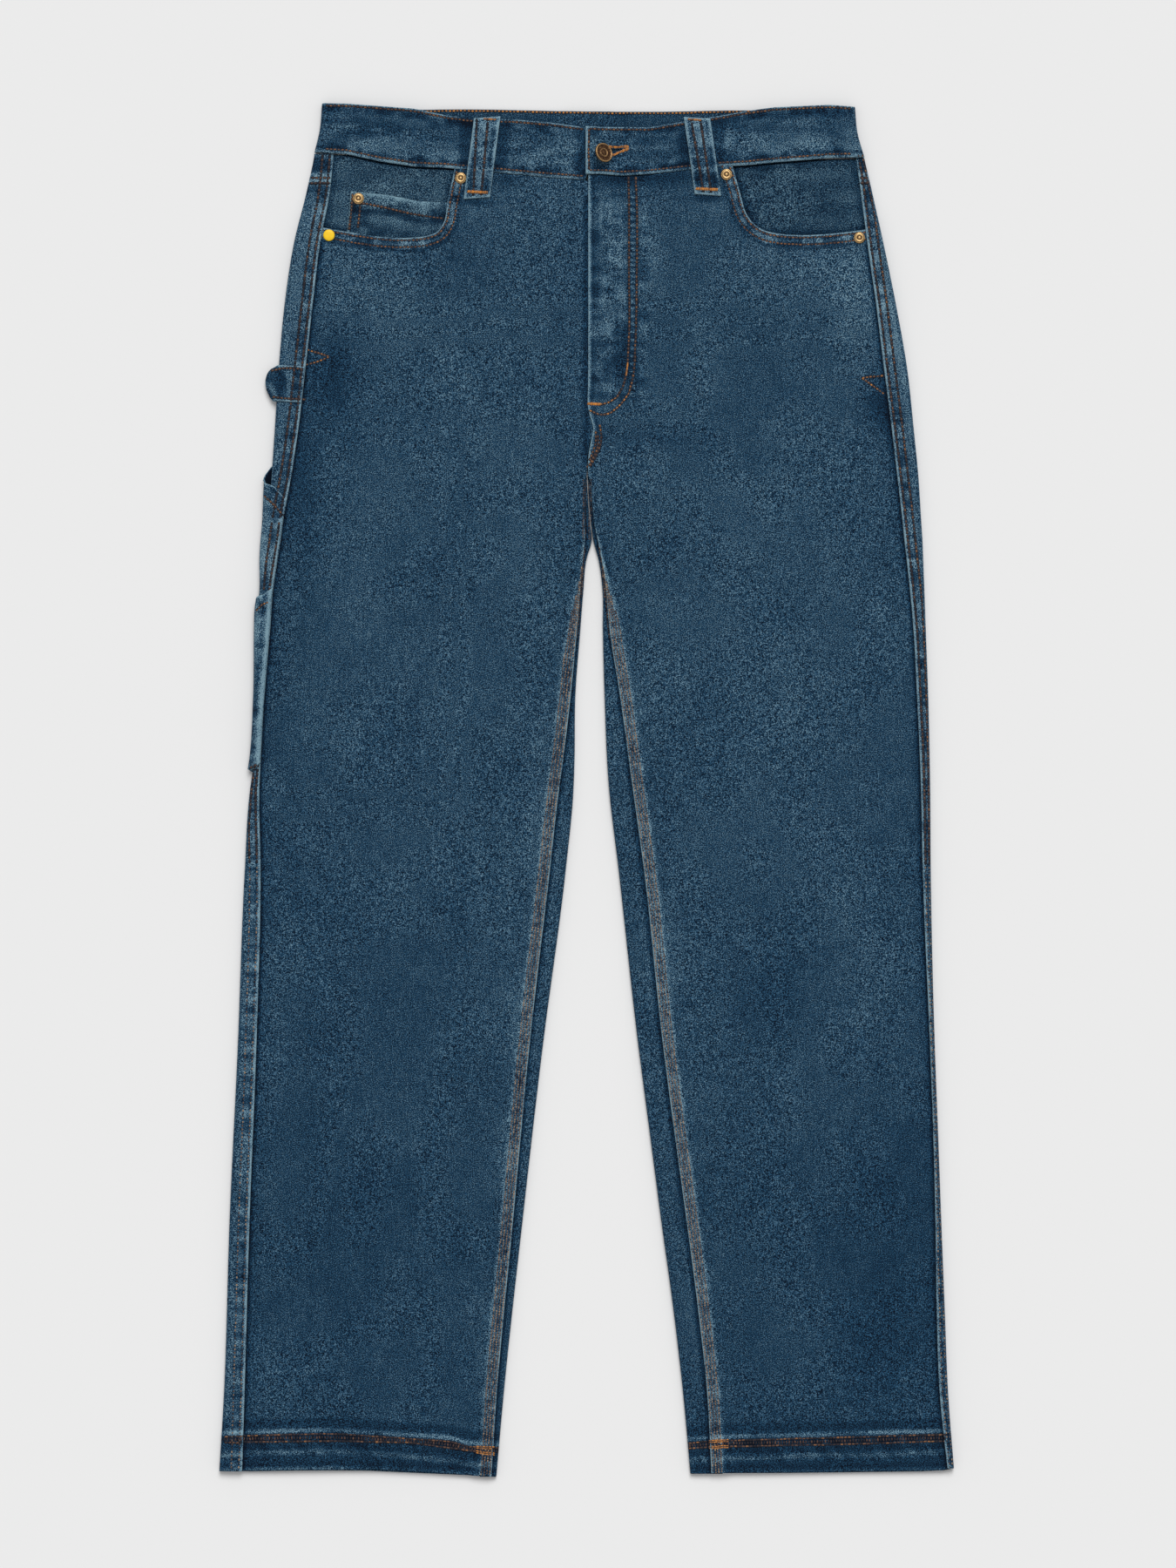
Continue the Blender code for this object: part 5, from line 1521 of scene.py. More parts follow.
def backLoop(name, place):
    # A flat strip on the floor under the band
    top = straight(bandBack, 1)(place) - 1.0
    low = straight(bandBack, 2)(place) + 1.0
    share = np.linspace(0, 1, 16)[:, None]
    x = place + backLoopWidth * np.linspace(0.5, -0.5, 9)[None, :] + 0 * share
    y = top * (1 - share) + low * share + 0 * x
    fromSide = (0.5 - np.abs(x - place) / backLoopWidth) * backLoopWidth
    worn = wearAndShadeAt(x, y) + rim(fromSide, 1.0, 0.7, 0.2)
    clothPiece(
        "denim_" + name,
        [name],
        [(np.stack([x, y, 0 * x], -1), worn, None)],
        cloth["loopWall"],
        denim,
    )


for order, row in enumerate(loops["front"]):
    frontLoop(*row, 350 + 5 * order)
for name, place in backLoops.items():
    backLoop(name, place)
print("loops ready")

# Hammer loop and tool pockets


def slanted(distance, slope, edge, limit, more=0.0):
    # How far an edge has moved at a distance from the side seam, no further than its limit
    moved = slope * distance + more
    return min(moved, limit - edge) if limit > edge else max(moved, limit - edge)


def wrappedPiece(piece):
    # Columns from the side seam over the strip on top, round the fold and under the leg
    leg, name, level, seed = rightLeg, piece["name"], piece["level"], piece["seed"]
    top, low, isLoop = piece["top"], piece["low"], piece["name"] == "hammer_loop"
    standOffAt = straight(bulgeTable, 1) if isLoop else through(puffTable, 1)
    onStrip = len(wrap["strip"])
    stripWidth = leg.sign * (leg.outerFold(top) - leg.sideSeam(top)) - leg.foldRadius(top)
    upperSpan = min(wrap["topSlant"], (top - low) / 2)
    fine = np.array(wrap["edgeRows"])
    nominal = np.concatenate([np.arange(top, low, -wrap["rowStep"]), [low], top - fine, low + fine])
    nominal = np.unique(nominal)[::-1]
    turns = np.linspace(0, 1, wrap["foldTurns"] + 1)
    travel = [float(stripWidth) * share for share in wrap["strip"]]
    travel += [stripWidth + wrap["foldLength"] * turn for turn in turns]
    travel += list(np.linspace(0.2, 1.0, 10) * piece["reach"])
    columns = []
    for column, distance in enumerate(travel):
        past = min((column - onStrip) / (len(turns) - 1.0), 1.0)
        gape = piece["gape"] * float(softStep((past - 0.48) / 0.42))
        toTop = slanted(distance, piece["topSlope"], top, piece["topLimit"], gape)
        toLow = slanted(distance, piece["lowSlope"], low, piece["lowLimit"])
        y = nominal + toTop * softStep((nominal - top + upperSpan) / upperSpan)
        y = y + toLow * softStep((low + wrap["lowSlant"] - nominal) / wrap["lowSlant"])
        standOff = piece["puff"] + standOffAt(y)
        if column < onStrip:
            start = leg.sideSeam(y) + leg.sign * cloth["leastTongue"]
            end = leg.outerFold(y) - leg.sign * leg.foldRadius(y)
            x = start + (end - start) * wrap["strip"][column]
            z = stripHeight(x, y) + layer * level
        elif column < onStrip + len(turns):
            x, z = outerPath(leg, y, turns[column - onStrip], level, standOff)
        else:
            x = leg.outerFold(y) - leg.sign * distance
            z = lift(leg, distance, y, level)
        columns.append(np.stack([x + 0 * y, y, z + 0 * y], -1))
    points = np.stack(columns, 1)
    x, y = points[..., 0], points[..., 1]
    onTop = points[..., 2] > 2.0
    fromTop = (top - nominal)[:, None] + 0 * x
    fromLow = (nominal - low)[:, None] + 0 * x
    fromSeam = leg.sign * (x - leg.sideSeam(y))
    ropes = pucker(x + y, fromTop, 0.5, 12.0, seed, 5.0) + pucker(x, fromLow, 0.5, 8.0, seed + 2, 5.0)
    seamRopes = pucker(y, fromSeam, 0.5, 9.5, seed + 4, 5.0)
    rolled = np.exp(-((fromTop / 0.5) ** 2)) + np.exp(-((fromLow / 0.5) ** 2))
    hem = plateau(fromTop, 1.0, 11.0, 2.0)
    points[..., 2] += onTop * (0.4 * hem - 0.5 * rolled + 0.14 * ropes + 0.14 * seamRopes)
    worn = wearAndShadeAt(x, y) + rim(fromTop, 1.1, 1.35, 0.0) + rim(fromLow, 1.4, 1.0, 0.1)
    worn = worn + 0.3 * ropes + 0.34 * seamRopes
    column = np.arange(len(travel))[None, :] + 0 * x
    if not isLoop:
        # A thick worn rope runs down the seam, wider and paler over the lower pocket
        rope = plateau(y, 24.0, 152.0, 10.0) + 0.8 * plateau(y, 163.0, 212.0, 6.0)
        wide = 1.5 + 0.8 * softStep((120.0 - y) / 50.0)
        points[..., 2] += onTop * 1.1 * rope * bell(fromSeam, 2.2, wide)
        worn = worn + rim(fromSeam, 1.7, 1.25, 0.1) * unevenWear(y, seed + 8) * (1 - 0.6 * rope)
        worn = worn + rope * (1.2 + 0.4 * softNoise(y, x, 9.0, 4.0, seed + 10)) * bell(fromSeam, 2.0, wide)
        # Painted shadow beside the rope, on the panel side
        worn = worn - 0.3 * rope * bell(fromSeam, 6.6, 1.5)
        worn = worn - 0.3 * bell(fromTop, 14.5, 2.5)
        worn = worn + (0.22 + 0.3 * alongNoise(y, 9.0, seed + 6)) * bell(column, onStrip + 3.0, 3.5)
        belowHem = 0.8 * bell(fromTop, 12.0, 1.2) + 0.36 * plateau(fromTop, 14.0, 60.0, 4.0)
        worn = worn + belowHem * (column < onStrip + 6)
        # Painted shade inside the gaping pocket mouth, past the fold
        worn = worn - 1.3 * (column > onStrip + 6.5) * (fromTop > 0.7) * bell(fromTop, 0.0, 30.0)
    else:
        worn = worn + rim(fromSeam, 3.4, 1.0, 0.2, 7.0) * unevenWear(y, seed + 8, 3.0)
        worn = worn - 0.3 * softStep((x + 236.0) / -8.0) + 0.2 * bell(x, -232.0, 3.0)
        streak = x + 250.5 - 0.45 * (320.0 - y)
        worn = worn + 0.75 * bell(streak, 0.0, 1.8) * plateau(y, 311.0, 320.0, 3.0)
        worn = worn + 0.3 * softNoise(x, y, 6.0, 6.0, seed + 12)
    clothPiece(
        "denim_" + name,
        [name],
        [(points[:, ::-1], worn[:, ::-1], None)],
        cloth["wall"],
        denim,
    )


for piece in wrappedPieces:
    wrappedPiece(piece)
print("hammer loop and tool pockets ready")

# Rivets and button: a profile of radius, height and patina spun round an axis

hardware = {
    "turns": 40,
    "rivetRadius": 4.5,
    "rivets": [
        ("rivet_pocket_right_upper", -100.0, 484.0, 0.0),
        ("rivet_pocket_right_lower", -204.2, 438.8, 0.0),
        ("rivet_coin_pocket", -181.0, 468.0, -1.5),
        ("rivet_pocket_left_upper", 110.2, 486.8, 0.0),
        ("rivet_pocket_left_lower", 215.3, 436.8, 0.0),
    ],
    "rivetProfile": [
        (0.0, 1.85, 0.0), (0.12, 1.82, 0.0), (0.21, 1.68, 0.1), (0.27, 1.40, 0.9),
        (0.33, 1.26, 1.0), (0.42, 1.30, 0.7), (0.52, 1.46, 0.2), (0.62, 1.52, 0.0),
        (0.70, 1.44, 0.1), (0.76, 1.26, 0.7), (0.81, 1.20, 0.8), (0.87, 1.26, 0.3),
        (0.92, 1.20, 0.1), (0.97, 1.0, 0.3), (1.0, 0.6, 0.8), (1.0, 0.1, 1.0), (0.97, 0.0, 1.0),
        (0.0, 0.0, 1.0),
    ],
    "enamelProfile": [
        (0.0, 1.6, 0.0), (0.3, 1.58, 0.0), (0.6, 1.5, 0.0), (0.8, 1.36, 0.0), (0.92, 1.12, 0.0),
        (0.99, 0.75, 0.4), (1.02, 0.35, 0.8), (1.0, 0.05, 1.0), (0.97, 0.0, 1.0), (0.0, 0.0, 1.0),
    ],
    "buttonPlace": (8.8, 501.7),
    "buttonTilt": 37.0,
    "buttonTurn": 21.0,
    "buttonRadius": 7.9,
    "buttonProfile": [
        (0.0, 8.65, 0.7), (0.14, 8.62, 0.6), (0.20, 8.42, 0.9), (0.24, 8.32, 1.0),
        (0.30, 8.30, 0.9), (0.34, 8.42, 0.5), (0.39, 8.64, 0.3), (0.44, 8.64, 0.4),
        (0.49, 8.40, 0.9), (0.55, 8.28, 0.9), (0.66, 8.26, 0.8), (0.77, 8.34, 0.8),
        (0.84, 8.60, 0.6), (0.89, 8.84, 0.1), (0.94, 8.84, 0.0), (0.975, 8.66, 0.2),
        (0.995, 8.2, 0.5), (1.0, 7.6, 0.7), (0.985, 7.0, 1.0), (0.93, 6.5, 1.0), (0.8, 6.4, 1.0),
        (0.27, 6.35, 1.0), (0.265, 0.9, 1.0), (0.0, 0.9, 1.0),
    ],
}


def spunPiece(name, nodes, profile, radius, place, paint, tilt=0.0, turn=0.0):
    # Rings of the profile round an upright axis, closed by a fan at each end, then tilted and turned
    count = hardware["turns"]
    rings = np.array(profile[1:-1], float)
    angle = np.linspace(0, 2 * math.pi, count, endpoint=False)
    ring = np.stack(
        [
            radius * rings[:, :1] * np.cos(angle),
            radius * rings[:, :1] * np.sin(angle),
            rings[:, 1:2] + 0 * angle,
        ],
        -1,
    ).reshape(-1, 3)
    ends = np.array([[0, 0, profile[0][1]], [0, 0, profile[-1][1]]], float)
    vertices = np.concatenate([ring, ends])
    start = np.arange(len(rings) - 1)[:, None] * count
    here, after = np.arange(count)[None, :], (np.arange(count)[None, :] + 1) % count
    quads = np.stack([start + here, start + count + here, start + count + after, start + after], -1)
    quads = quads.reshape(-1, 4).tolist()
    top, low = len(ring), len(ring) + 1
    last = (len(rings) - 1) * count
    fans = [(top, int(i), int((i + 1) % count)) for i in range(count)]
    fans += [(low, last + int((i + 1) % count), last + int(i)) for i in range(count)]
    cosine, sine = math.cos(tilt), math.sin(tilt)
    leaning = np.array([[cosine, 0, sine], [0, 1, 0], [-sine, 0, cosine]])
    cosine, sine = math.cos(turn), math.sin(turn)
    turning = np.array([[cosine, -sine, 0], [sine, cosine, 0], [0, 0, 1]])
    vertices = vertices @ leaning.T @ turning.T + np.array(place)
    amounts = np.concatenate([np.repeat(rings[:, 2], count), [profile[0][2], profile[-1][2]]])
    piece = newPiece(name, vertices, quads + fans, "patina", amounts, paint)
    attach(piece, "root")
    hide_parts(*nodes)


for name, x, y, below in hardware["rivets"]:
    yellow = name == "rivet_pocket_right_lower"
    height = float(topHeight(x, y)) + below + cloth["gap"]
    spunPiece(
        name.replace("rivet", "cap"),
        [name],
        hardware["enamelProfile" if yellow else "rivetProfile"],
        hardware["rivetRadius"],
        (x, y, height),
        yellowEnamel if yellow else antiqueBrass,
    )

buttonX, buttonY = hardware["buttonPlace"]
spunPiece(
    "tack_button",
    ["button"],
    hardware["buttonProfile"],
    hardware["buttonRadius"],
    (buttonX, buttonY, float(bandHeight(buttonX, buttonY)) + cloth["gap"]),
    buttonBrass,
    math.radians(hardware["buttonTilt"]),
    math.radians(hardware["buttonTurn"]),
)
print("hardware ready")

# Stitching: short capsules of thread laid on the cloth along each row

sewing = {
    "pitch": 3.0,
    "plain": (0.3, 0.65),  # tones of a plain row
    "size": (2.0, 1.15, 0.7),  # length, width and height of a stitch
    "full": 0.62,  # where a stitch reaches its full width, as a share of half its length
    "tip": 0.4,  # how low its tips are, as a share of half its height
    "hemSize": (2.9, 1.25, 0.8),
    "wander": 0.14,
    "steepest": 1.1,  # a stitch may climb this many times its length
    # The groove is flat dark capsules under a row: painted shade where the thread sinks into the cloth
    "groove": {"pitch": 3.0, "size": (3.6, 2.1, 0.2), "tone": (0.0, 0.16)},
    "chain": {"pitch": 2.0, "size": (1.9, 1.15, 0.7), "rows": [1.4, 3.7, 6.0, 8.3]},
    "tack": {"pitch": 0.75, "size": (0.85, 0.9)},  # its length is the tack's width
}


def threadMaterial(name, stops):
    # Thread whose colour runs over a ramp by each stitch's own tone, with a fine change along it
    made, tree, shader = newMaterial(name, {"Roughness": 0.7, "Specular IOR Level": 0.2})
    noise = fineNoise(tree, 1100.0, 1.0)
    spread = {"From Min": 0.3, "From Max": 0.7, "To Min": -0.12, "To Max": 0.12}
    change = setSockets(tree.nodes.new("ShaderNodeMapRange"), spread)
    tree.links.new(noise, change.inputs["Value"])
    tone = maths(tree, "ADD", painted(tree, "tone"), change.outputs["Result"])
    colourBy(tree, shader, tone, stops)
    roughen(tree, shader, noise, 0.4, 0.0001)
    return made


threadPaints = {
    "rust": threadMaterial(
        "rustThread",
        [
            (0.0, 26, 28, 36),
            (0.25, 56, 46, 48),
            (0.5, 100, 74, 60),
            (0.75, 156, 108, 66),
            (1.0, 216, 142, 62),
        ],
    ),
    # Faded thread, whose darkest tones also paint the shade in the grooves under rows
    "faded": threadMaterial(
        "fadedThread",
        [(0.0, 22, 26, 36), (0.3, 56, 50, 54), (0.6, 106, 90, 80), (1.0, 168, 144, 118)],
    ),
}


def skinTree():
    # One search tree over all cloth pieces with their walls, and where each piece's faces end
    vertices, faces, ends = [], [], []
    graph = bpy.context.evaluated_depsgraph_get()
    for piece in clothPieces:
        mesh = piece.evaluated_get(graph).data
        places = np.empty(len(mesh.vertices) * 3, np.float32)
        mesh.vertices.foreach_get("co", places)
        corners = np.empty(len(mesh.loops), np.int32)
        mesh.loops.foreach_get("vertex_index", corners)
        faces += (corners.reshape(-1, 4) + len(vertices)).tolist()
        vertices += places.reshape(-1, 3).tolist()
        ends.append(len(faces))
    return BVHTree.FromPolygons(vertices, faces), np.array(ends)


clothTree, faceEnds = skinTree()
clothNames = [piece.name.replace("denim_", "") for piece in clothPieces]
sewn = {}


def landed(points, below):
    # Drops points onto the cloth, or lifts them from below: places, normals and pieces met
    start = Vector((0.0, 0.0, -0.03 if below else 0.06))
    way = Vector((0.0, 0.0, 1.0 if below else -1.0))
    hits = [clothTree.ray_cast(start + Vector((x, y, 0.0)), way) for x, y in (points * millimetre).tolist()]
    missed = (Vector((0.0, 0.0, 0.0)), Vector((0.0, 0.0, 1.0)), -1)
    hits = [hit[:3] if hit[0] is not None else missed for hit in hits]
    places, normals, indices = zip(*hits)
    met = [clothNames[np.searchsorted(faceEnds, index, "right")] if index >= 0 else "" for index in indices]
    return np.array(places) / millimetre, np.array(normals), met


def layStitches(region, thread, starts, ends, tone, size, on, below, seed):
    # A stitch from each start to each end, where the cloth met there is one of the pieces named
    rng = np.random.default_rng(seed)
    middles, normals, met = landed((starts + ends) / 2, below)
    first, firstMet = landed(starts, below)[::2]
    last, lastMet = landed(ends, below)[::2]
    fits = [here != "" and (on is None or any(word in here for word in on)) for here in met]
    climb = np.abs(last[:, 2] - first[:, 2])
    level = climb < sewing["steepest"] * np.linalg.norm(ends - starts, axis=1)
    good = np.array(fits) & level & np.array([a != "" and b != "" for a, b in zip(firstMet, lastMet)])
    along = last - first
    reach = np.linalg.norm(along, axis=1, keepdims=True)
    along = along / np.maximum(reach, 1e-6)
    facing = np.where(normals[:, 2:] * (-1 if below else 1) < 0, -normals, normals)
    count = len(starts)
    sizes = np.array(size) * (1 + 0.08 * rng.standard_normal((count, 3)))
    tones = rng.uniform(*tone, count)
    kept = tuple(value[good] for value in (middles, along, facing, sizes, tones))
    sewn.setdefault((region, thread), []).append(kept)


def sew(
    region,
    table,
    tone=sewing["plain"],
    on=None,
    thread="rust",
    pitch=None,
    size=None,
    below=False,
    seed=1,
    groove=True,
):
    # A row of stitches end to end along a path, over a groove of flat dark capsules that paints the shade
    # where the thread sinks in
    rng = np.random.default_rng(seed)
    table = np.array(table, float)[:, :2]
    if thread == "rust" and groove:
        dark = sewing["groove"]
        line = evenly(table, dark["pitch"])
        layStitches(region, "faded", line[:-1], line[1:], dark["tone"], dark["size"], on, below, seed)
    path = evenly(table, pitch or sewing["pitch"])
    path = path + sewing["wander"] * rng.standard_normal(path.shape)
    layStitches(region, thread, path[:-1], path[1:], tone, size or sewing["size"], on, below, seed)


def tack(region, start, end, width, tone=(0.7, 1.0), on=None, seed=1):
    # A bartack or buttonhole edge: close stitches across a line
    rng = np.random.default_rng(seed)
    line = evenly(np.array([start, end], float), sewing["tack"]["pitch"])
    tangent = (line[-1] - line[0]) / np.linalg.norm(line[-1] - line[0])
    across = np.array([-tangent[1], tangent[0]]) * width / 2
    swing = 1 + 0.2 * rng.standard_normal((len(line), 1))
    half = across * swing + 0.35 * tangent
    size = (width * 1.05, *sewing["tack"]["size"])
    layStitches(region, "rust", line - half, line + half, tone, size, on, False, seed)


def chain(region, path, tone, on=None, seed=1):
    # A row of chain stitches in faded thread
    size = sewing["chain"]["size"]
    sew(region, path, tone, on, "faded", sewing["chain"]["pitch"], size, False, seed)


def rowPath(leg, offset, high, low):
    # Down a leg's side seam, at an offset from it that shrinks where the strip is narrow
    y = np.arange(high, low, -2.0)
    width = np.abs(leg.outerFold(y) - leg.sideSeam(y))
    share = 0.35 if offset < 5.0 else 0.8
    return np.stack([leg.sideSeam(y) + leg.sign * np.minimum(offset, share * width), y], -1)


def fellPath(leg, offset, high, low):
    # Down the felled inseam, at an offset that grows with the fell
    nominal = np.arange(high, low, -2.0)
    x = leg.inseam(nominal) + leg.sign * offset * fellShare(leg, nominal)
    return np.stack([x, withHem(nominal, x)], -1)


def bandPath(table, low, high, fromTop=None, fromLow=None):
    # Along the band, at a distance from its top or its lower edge
    x = np.arange(low, high, 1.0)
    y = straight(table, 1)(x) - fromTop if fromLow is None else straight(table, 2)(x) + fromLow
    return np.stack([x, y], -1)


# Rows along the side seams: spans of y from high to low, tones of the inner and the outer row, first seed
seamRows = {
    "right": {
        "spans": [(503.0, 214.0), (212.0, 156.0), (20.0, -60.0)],
        "tones": [(0.0, 0.48), (0.0, 0.55)],
        "seed": 500,
    },
    "left": {"spans": [(503.0, -60.0)], "tones": [(0.0, 0.55), (0.10, 0.65)], "seed": 540},
    "faded": (-60.0, -542.0),  # where both rows are worn pale
    "yoke": (484.4, 480.2),
}


def sewSeams():
    # Side seams, yoke ends, chains on the fells and beside the crotch
    for leg in (rightLeg, leftLeg):
        rows = seamRows[leg.side]
        side, inseam, seed = "side_" + leg.side, "inseam_" + leg.side, rows["seed"]
        for order, (offset, tone) in enumerate(zip(back["sideRows"], rows["tones"])):
            for high, low in rows["spans"]:
                sew(side, rowPath(leg, offset, high, low), tone, seed=seed + order + int(high))
            path = rowPath(leg, offset, *seamRows["faded"])
            sew(side, path, (0.1, 0.85), thread="faded", seed=seed + 2 + order)
        for order, y in enumerate(seamRows["yoke"]):
            start, end = float(leg.sideSeam(y)), float(leg.outerFold(y))
            ends = [(start + leg.sign * 0.8, y), (end - leg.sign * 1.0, y)]
            sew(side, ends, (0.3, 0.6), seed=seed + 6 + order)
        for order, offset in enumerate(sewing["chain"]["rows"]):
            path = fellPath(leg, offset, 184.0 - 5.0 * offset, -541.0)
            chain(inseam, path, (0.25, 0.85), ["front_panel"], seed + 10 + order)
        for order, (offset, low) in enumerate(((-1.0, 118.0), (-3.0, 150.0))):
            chain(inseam, fellPath(leg, offset, 192.0, low), (0.0, 0.6), None, seed + 20 + order)
        for order, offset in enumerate((1.3, 2.9)):
            line = np.array([(leg.sign * offset, 246.0), (leg.sign * (offset + 0.3), 198.0)])
            chain(inseam, line, (0.0, 0.5), None, seed + 24 + order)
    print("seams sewn")


def sewWaist():
    # The band's edges, the buttonhole and the front loops
    on = ["waistband"]
    rows = [
        bandPath(bandRight, -207.0, -2.4, fromTop=2.0),
        bandPath(bandRight, -207.0, -2.4, fromLow=3.2),
        bandPath(bandLeft, 1.6, 209.0, fromTop=2.0),
        bandPath(bandLeft, 1.6, 209.0, fromLow=3.2),
        [(1.5, 522.6), (1.2, 505.0), (1.5, 490.4)],  # the lapped end
    ]
    for order, row in enumerate(rows):
        sew("waist", row, sewing["plain"], on, seed=600 + order)
    sew("waist", bandPath(bandBack, -128.0, 130.0, fromTop=1.2), (0.7, 0.95), on, seed=605)
    hole = smoothPath(bandSettings["hole"] + bandSettings["hole"][:1], 0.4)
    edge = offsetPath(hole, -1.0)
    for start, end in zip(edge[:-2:2], edge[2::2]):
        tack("waist", start, end, 2.6, (0.6, 1.0), on, 606 + int(start[0] * 10))
    for name, lowX, lowY, highX, highY in loops["front"]:
        for order, (low, high) in enumerate(loops["stitchRows"][name]):
            share = np.linspace(0.03, 0.985, 30)
            x = lowX + (highX - lowX) * share + loops["width"] * (low + (high - low) * share)
            row = np.stack([x, lowY + (highY - lowY) * share], -1)
            sew("waist", row, (0.0, 0.5), [name], seed=620 + order)
        for share, half, width, tone in loops["tacks"][name]:
            x, y = lowX + (highX - lowX) * share, lowY + (highY - lowY) * share
            start, end = (x - half[0], y + 0.4), (x + half[1], y - 0.4)
            tack("waist", start, end, width, tone, [name], 630 + int(100 * share))
    print("waist sewn")


# Rows by points on the cloth: x, y
hipRows = {
    "rust": [
        [(32.7, 485.1), (33.1, 462.3), (33.1, 418.1), (32.7, 349.8)]
        + [(31.3, 332.9), (29.2, 321.5), (23.5, 310.5)],
        [(38.4, 485.1), (39.3, 462.3), (39.3, 413.3), (38.0, 349.8), (36.6, 328.7), (33.4, 314.6)],
        [(6.8, 284.2), (6.8, 275.1), (2.8, 263.0), (-0.6, 254.5)],
        [(9.9, 289.3), (11.3, 277.1), (7.8, 266.0), (0.4, 253.3)],
        [(8.4, 281.2), (8.6, 273.1), (4.9, 263.0), (-0.2, 253.9)],
        [(-187.7, 464.2), (-178.7, 464.2), (-163.9, 461.8)]
        + [(-146.3, 457.6), (-128.6, 454.2), (-113.9, 452.4)],
        [(-185.6, 472.0), (-186.3, 462.0), (-188.4, 443.0)],
        [(-179.4, 471.6), (-179.8, 460.0), (-181.6, 444.4)],
        [(-221.6, 332.6), (-238.0, 333.6), (-253.0, 331.0)],
        [(-222.5, 309.1), (-238.0, 309.6), (-249.0, 311.0)],
        [(-255.6, 233.0), (-247.4, 225.2), (-239.6, 216.0)],
        [(-267.0, 17.3), (-257.7, 21.6)],
    ],
    "bright": [
        [(23.5, 310.5), (15.2, 305.9), (9.7, 305.0)],
        [(33.4, 314.6), (26.2, 304.8), (16.6, 297.7), (9.7, 297.0), (1.7, 300.6)],
        [(-221.5, 348.5), (-203.9, 342.9)],
        [(-222.9, 336.4), (-213.0, 339.0), (-203.9, 342.9)],
        [(234.6, 327.8), (217.1, 326.2)],
        [(235.3, 313.5), (226.0, 320.0), (217.1, 326.2)],
        [(-262.0, 141.5), (-256.0, 147.0), (-249.0, 149.7)],
    ],
    "tacks": [
        ((0.6, 305.6), (10.6, 305.2), 2.4),
        ((32.2, 338.0), (31.0, 328.4), 1.4),
        ((-182.4, 465.2), (-179.0, 465.6), 1.6),
    ],
}


def sewHips():
    # Pocket mouths, fly, coin pocket, and the small rows and tacks beside the seams
    for leg, mouth in ((rightLeg, mouthRight), (leftLeg, mouthLeft)):
        for order, offset in enumerate(front["mouthRows"]):
            row = offsetPath(smoothPath(mouth), -leg.sign * offset)
            sew("hips", row, sewing["plain"], ["front_panel"], seed=640 + order)
    for order, table in enumerate(hipRows["rust"]):
        sew("hips", smoothPath(table, 0.5), sewing["plain"], seed=650 + order)
    for order, table in enumerate(hipRows["bright"]):
        sew("hips", smoothPath(table, 0.5), (0.5, 0.85), seed=670 + order, pitch=2.8)
    for order, (start, end, width) in enumerate(hipRows["tacks"]):
        tack("hips", start, end, width, seed=680 + order)
    print("hips sewn")


def sewHems():
    # Two rows round each leg, bright where they cross the inseam
    spans = ((-290.0, -69.0), (80.0, 285.0))
    for table, tone, seed in ((hemRows["upper"], (0.0, 0.7), 700), (hemRows["lower"], (0.0, 0.65), 710)):
        at = straight(table, 1)
        for order, (low, high) in enumerate(spans):
            x = np.arange(low, high, 1.0)
            sew("hems", np.stack([x, at(x)], -1), tone, seed=seed + order, size=sewing["hemSize"])
        for start, end in hemRows["bright"]:
            x = np.linspace(start, end, 12)
            for shift in (-0.7, 0.8):
                path = np.stack([x, at(x) + shift], -1)
                sew("hems", path, (0.6, 1.0), seed=seed + 5, pitch=2.4, size=(2.6, 1.0, 0.9), groove=False)
    # Dark thread shows through between the two rows
    for low, high in spans:
        x = np.arange(low, high, 1.0)
        y = (straight(hemRows["upper"], 1)(x) + straight(hemRows["lower"], 1)(x)) / 2
        path = np.stack([x, y], -1)
        sew("hems", path, (0.0, 0.42), seed=716, pitch=2.2, size=(1.5, 2.4, 0.4), groove=False)
    print("hems sewn")


def sewBelow(x, y, tone, seed, on=None):
    sew("underside", np.stack([x, y + 0 * x], -1), tone, on, below=True, seed=seed)


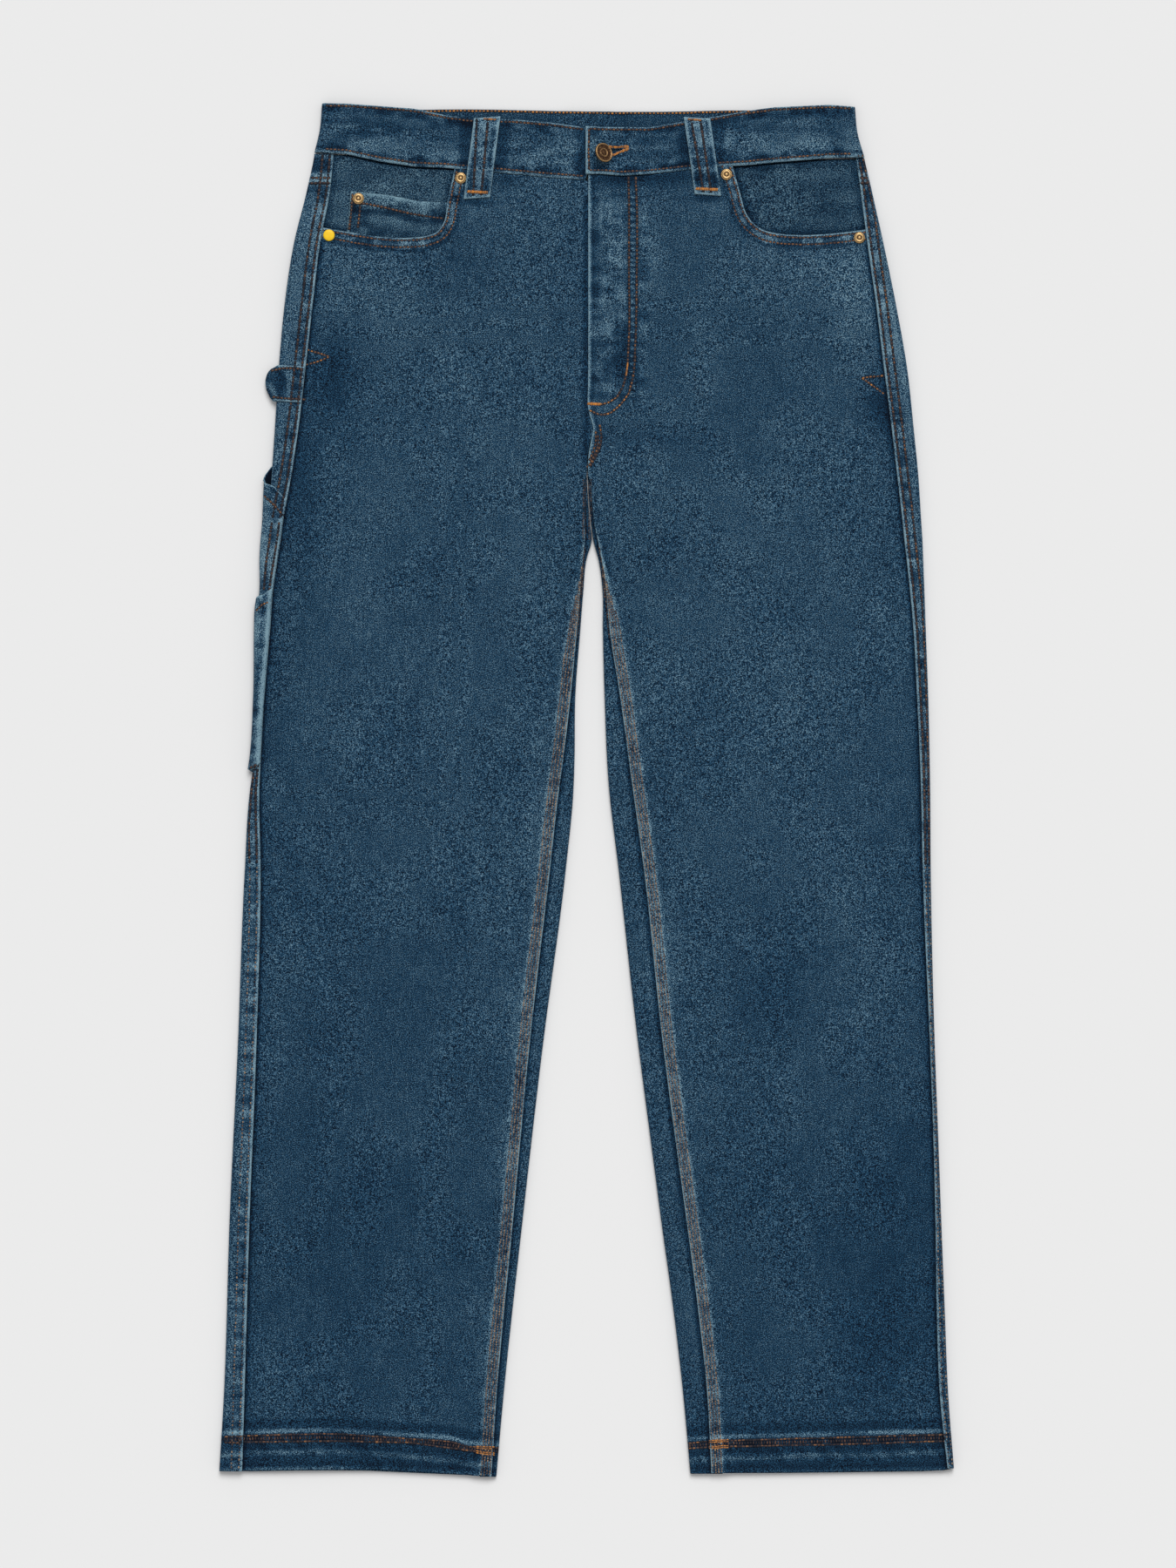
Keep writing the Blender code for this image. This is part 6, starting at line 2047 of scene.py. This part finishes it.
def sewUnderside():
    # The hidden back gets its plain rows: waistband, yokes, hems and centre seam
    plain = (0.3, 0.6)
    bandRows = [{"fromTop": 3.0}, {"fromLow": 3.0}]
    for order, inset in enumerate((3.0, -3.0)):
        row = bandPath(bandBack, -206.0, 208.0, **bandRows[order])
        sewBelow(row[:, 0], row[:, 1], plain, 720 + order, ["waistband"])
        for leg in (rightLeg, leftLeg):
            x = np.linspace(2.0, 210.0, 60)
            y = cloth["yokeSide"] - cloth["yokeDrop"] * (1 - x / cloth["yokeSpan"]) + 4.0 + inset
            sewBelow(leg.sign * x, y, plain, 724 + order, ["back"])
            x = leg.sign * np.linspace(80.0, 284.0, 60)
            sewBelow(x, -517.0 + inset / 1.4, (0.3, 0.7), 728 + order)
        y = np.arange(424.0, 262.0, -2.0)
        sewBelow(2.6 + 2.9 * (1 + order) + 0 * y, y, plain, 732 + order)
    print("underside sewn")


def stitchMesh(name, parts, paint):
    # Six-sided capsules: two full rings and two tips each, placed by a stitch's middle, direction and size
    middle, along, up, size, tone = (np.concatenate([part[i] for part in parts]) for i in range(5))
    side = np.cross(up, along)
    side /= np.linalg.norm(side, axis=1, keepdims=True)
    up = np.cross(along, side)
    sides = 6
    angle = np.arange(sides) * math.pi / 3
    ring = np.stack([np.ones(sides), np.cos(angle), np.sin(angle)], -1)
    full, tip = sewing["full"], sewing["tip"]
    unit = np.concatenate([[[-1, 0, -tip]], ring * (-full, 1, 1), ring * (full, 1, 1), [[1, 0, -tip]]])
    halves = unit[None] * size[:, None, :] / 2
    points = middle[:, None] + halves[..., :1] * along[:, None] + halves[..., 1:2] * side[:, None]
    points = points + halves[..., 2:] * up[:, None]
    # Corner 0 is one tip, then come the two rings, and the last corner is the other tip
    here = 1 + np.arange(sides)
    after = 1 + (np.arange(sides) + 1) % sides
    fans = [
        np.stack([np.zeros(sides, int), after, here], -1),
        np.stack([np.full(sides, 1 + 2 * sides), here + sides, after + sides], -1),
    ]
    walls = np.stack([here, after, after + sides, here + sides], -1)
    starts = (np.arange(len(middle)) * len(unit))[:, None, None]
    faces = sum(((starts + part[None]).reshape(-1, part.shape[1]).tolist() for part in (*fans, walls)), [])
    piece = newPiece(name, points.reshape(-1, 3), faces, "tone", np.repeat(tone, len(unit)), paint)
    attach(piece, "root")
    print(name, len(middle), "stitches")


sewSeams()
sewWaist()
sewHips()
sewHems()
sewUnderside()
for (region, thread), parts in sewn.items():
    stitchMesh("stitches_" + region + "_" + thread, parts, threadPaints[thread])
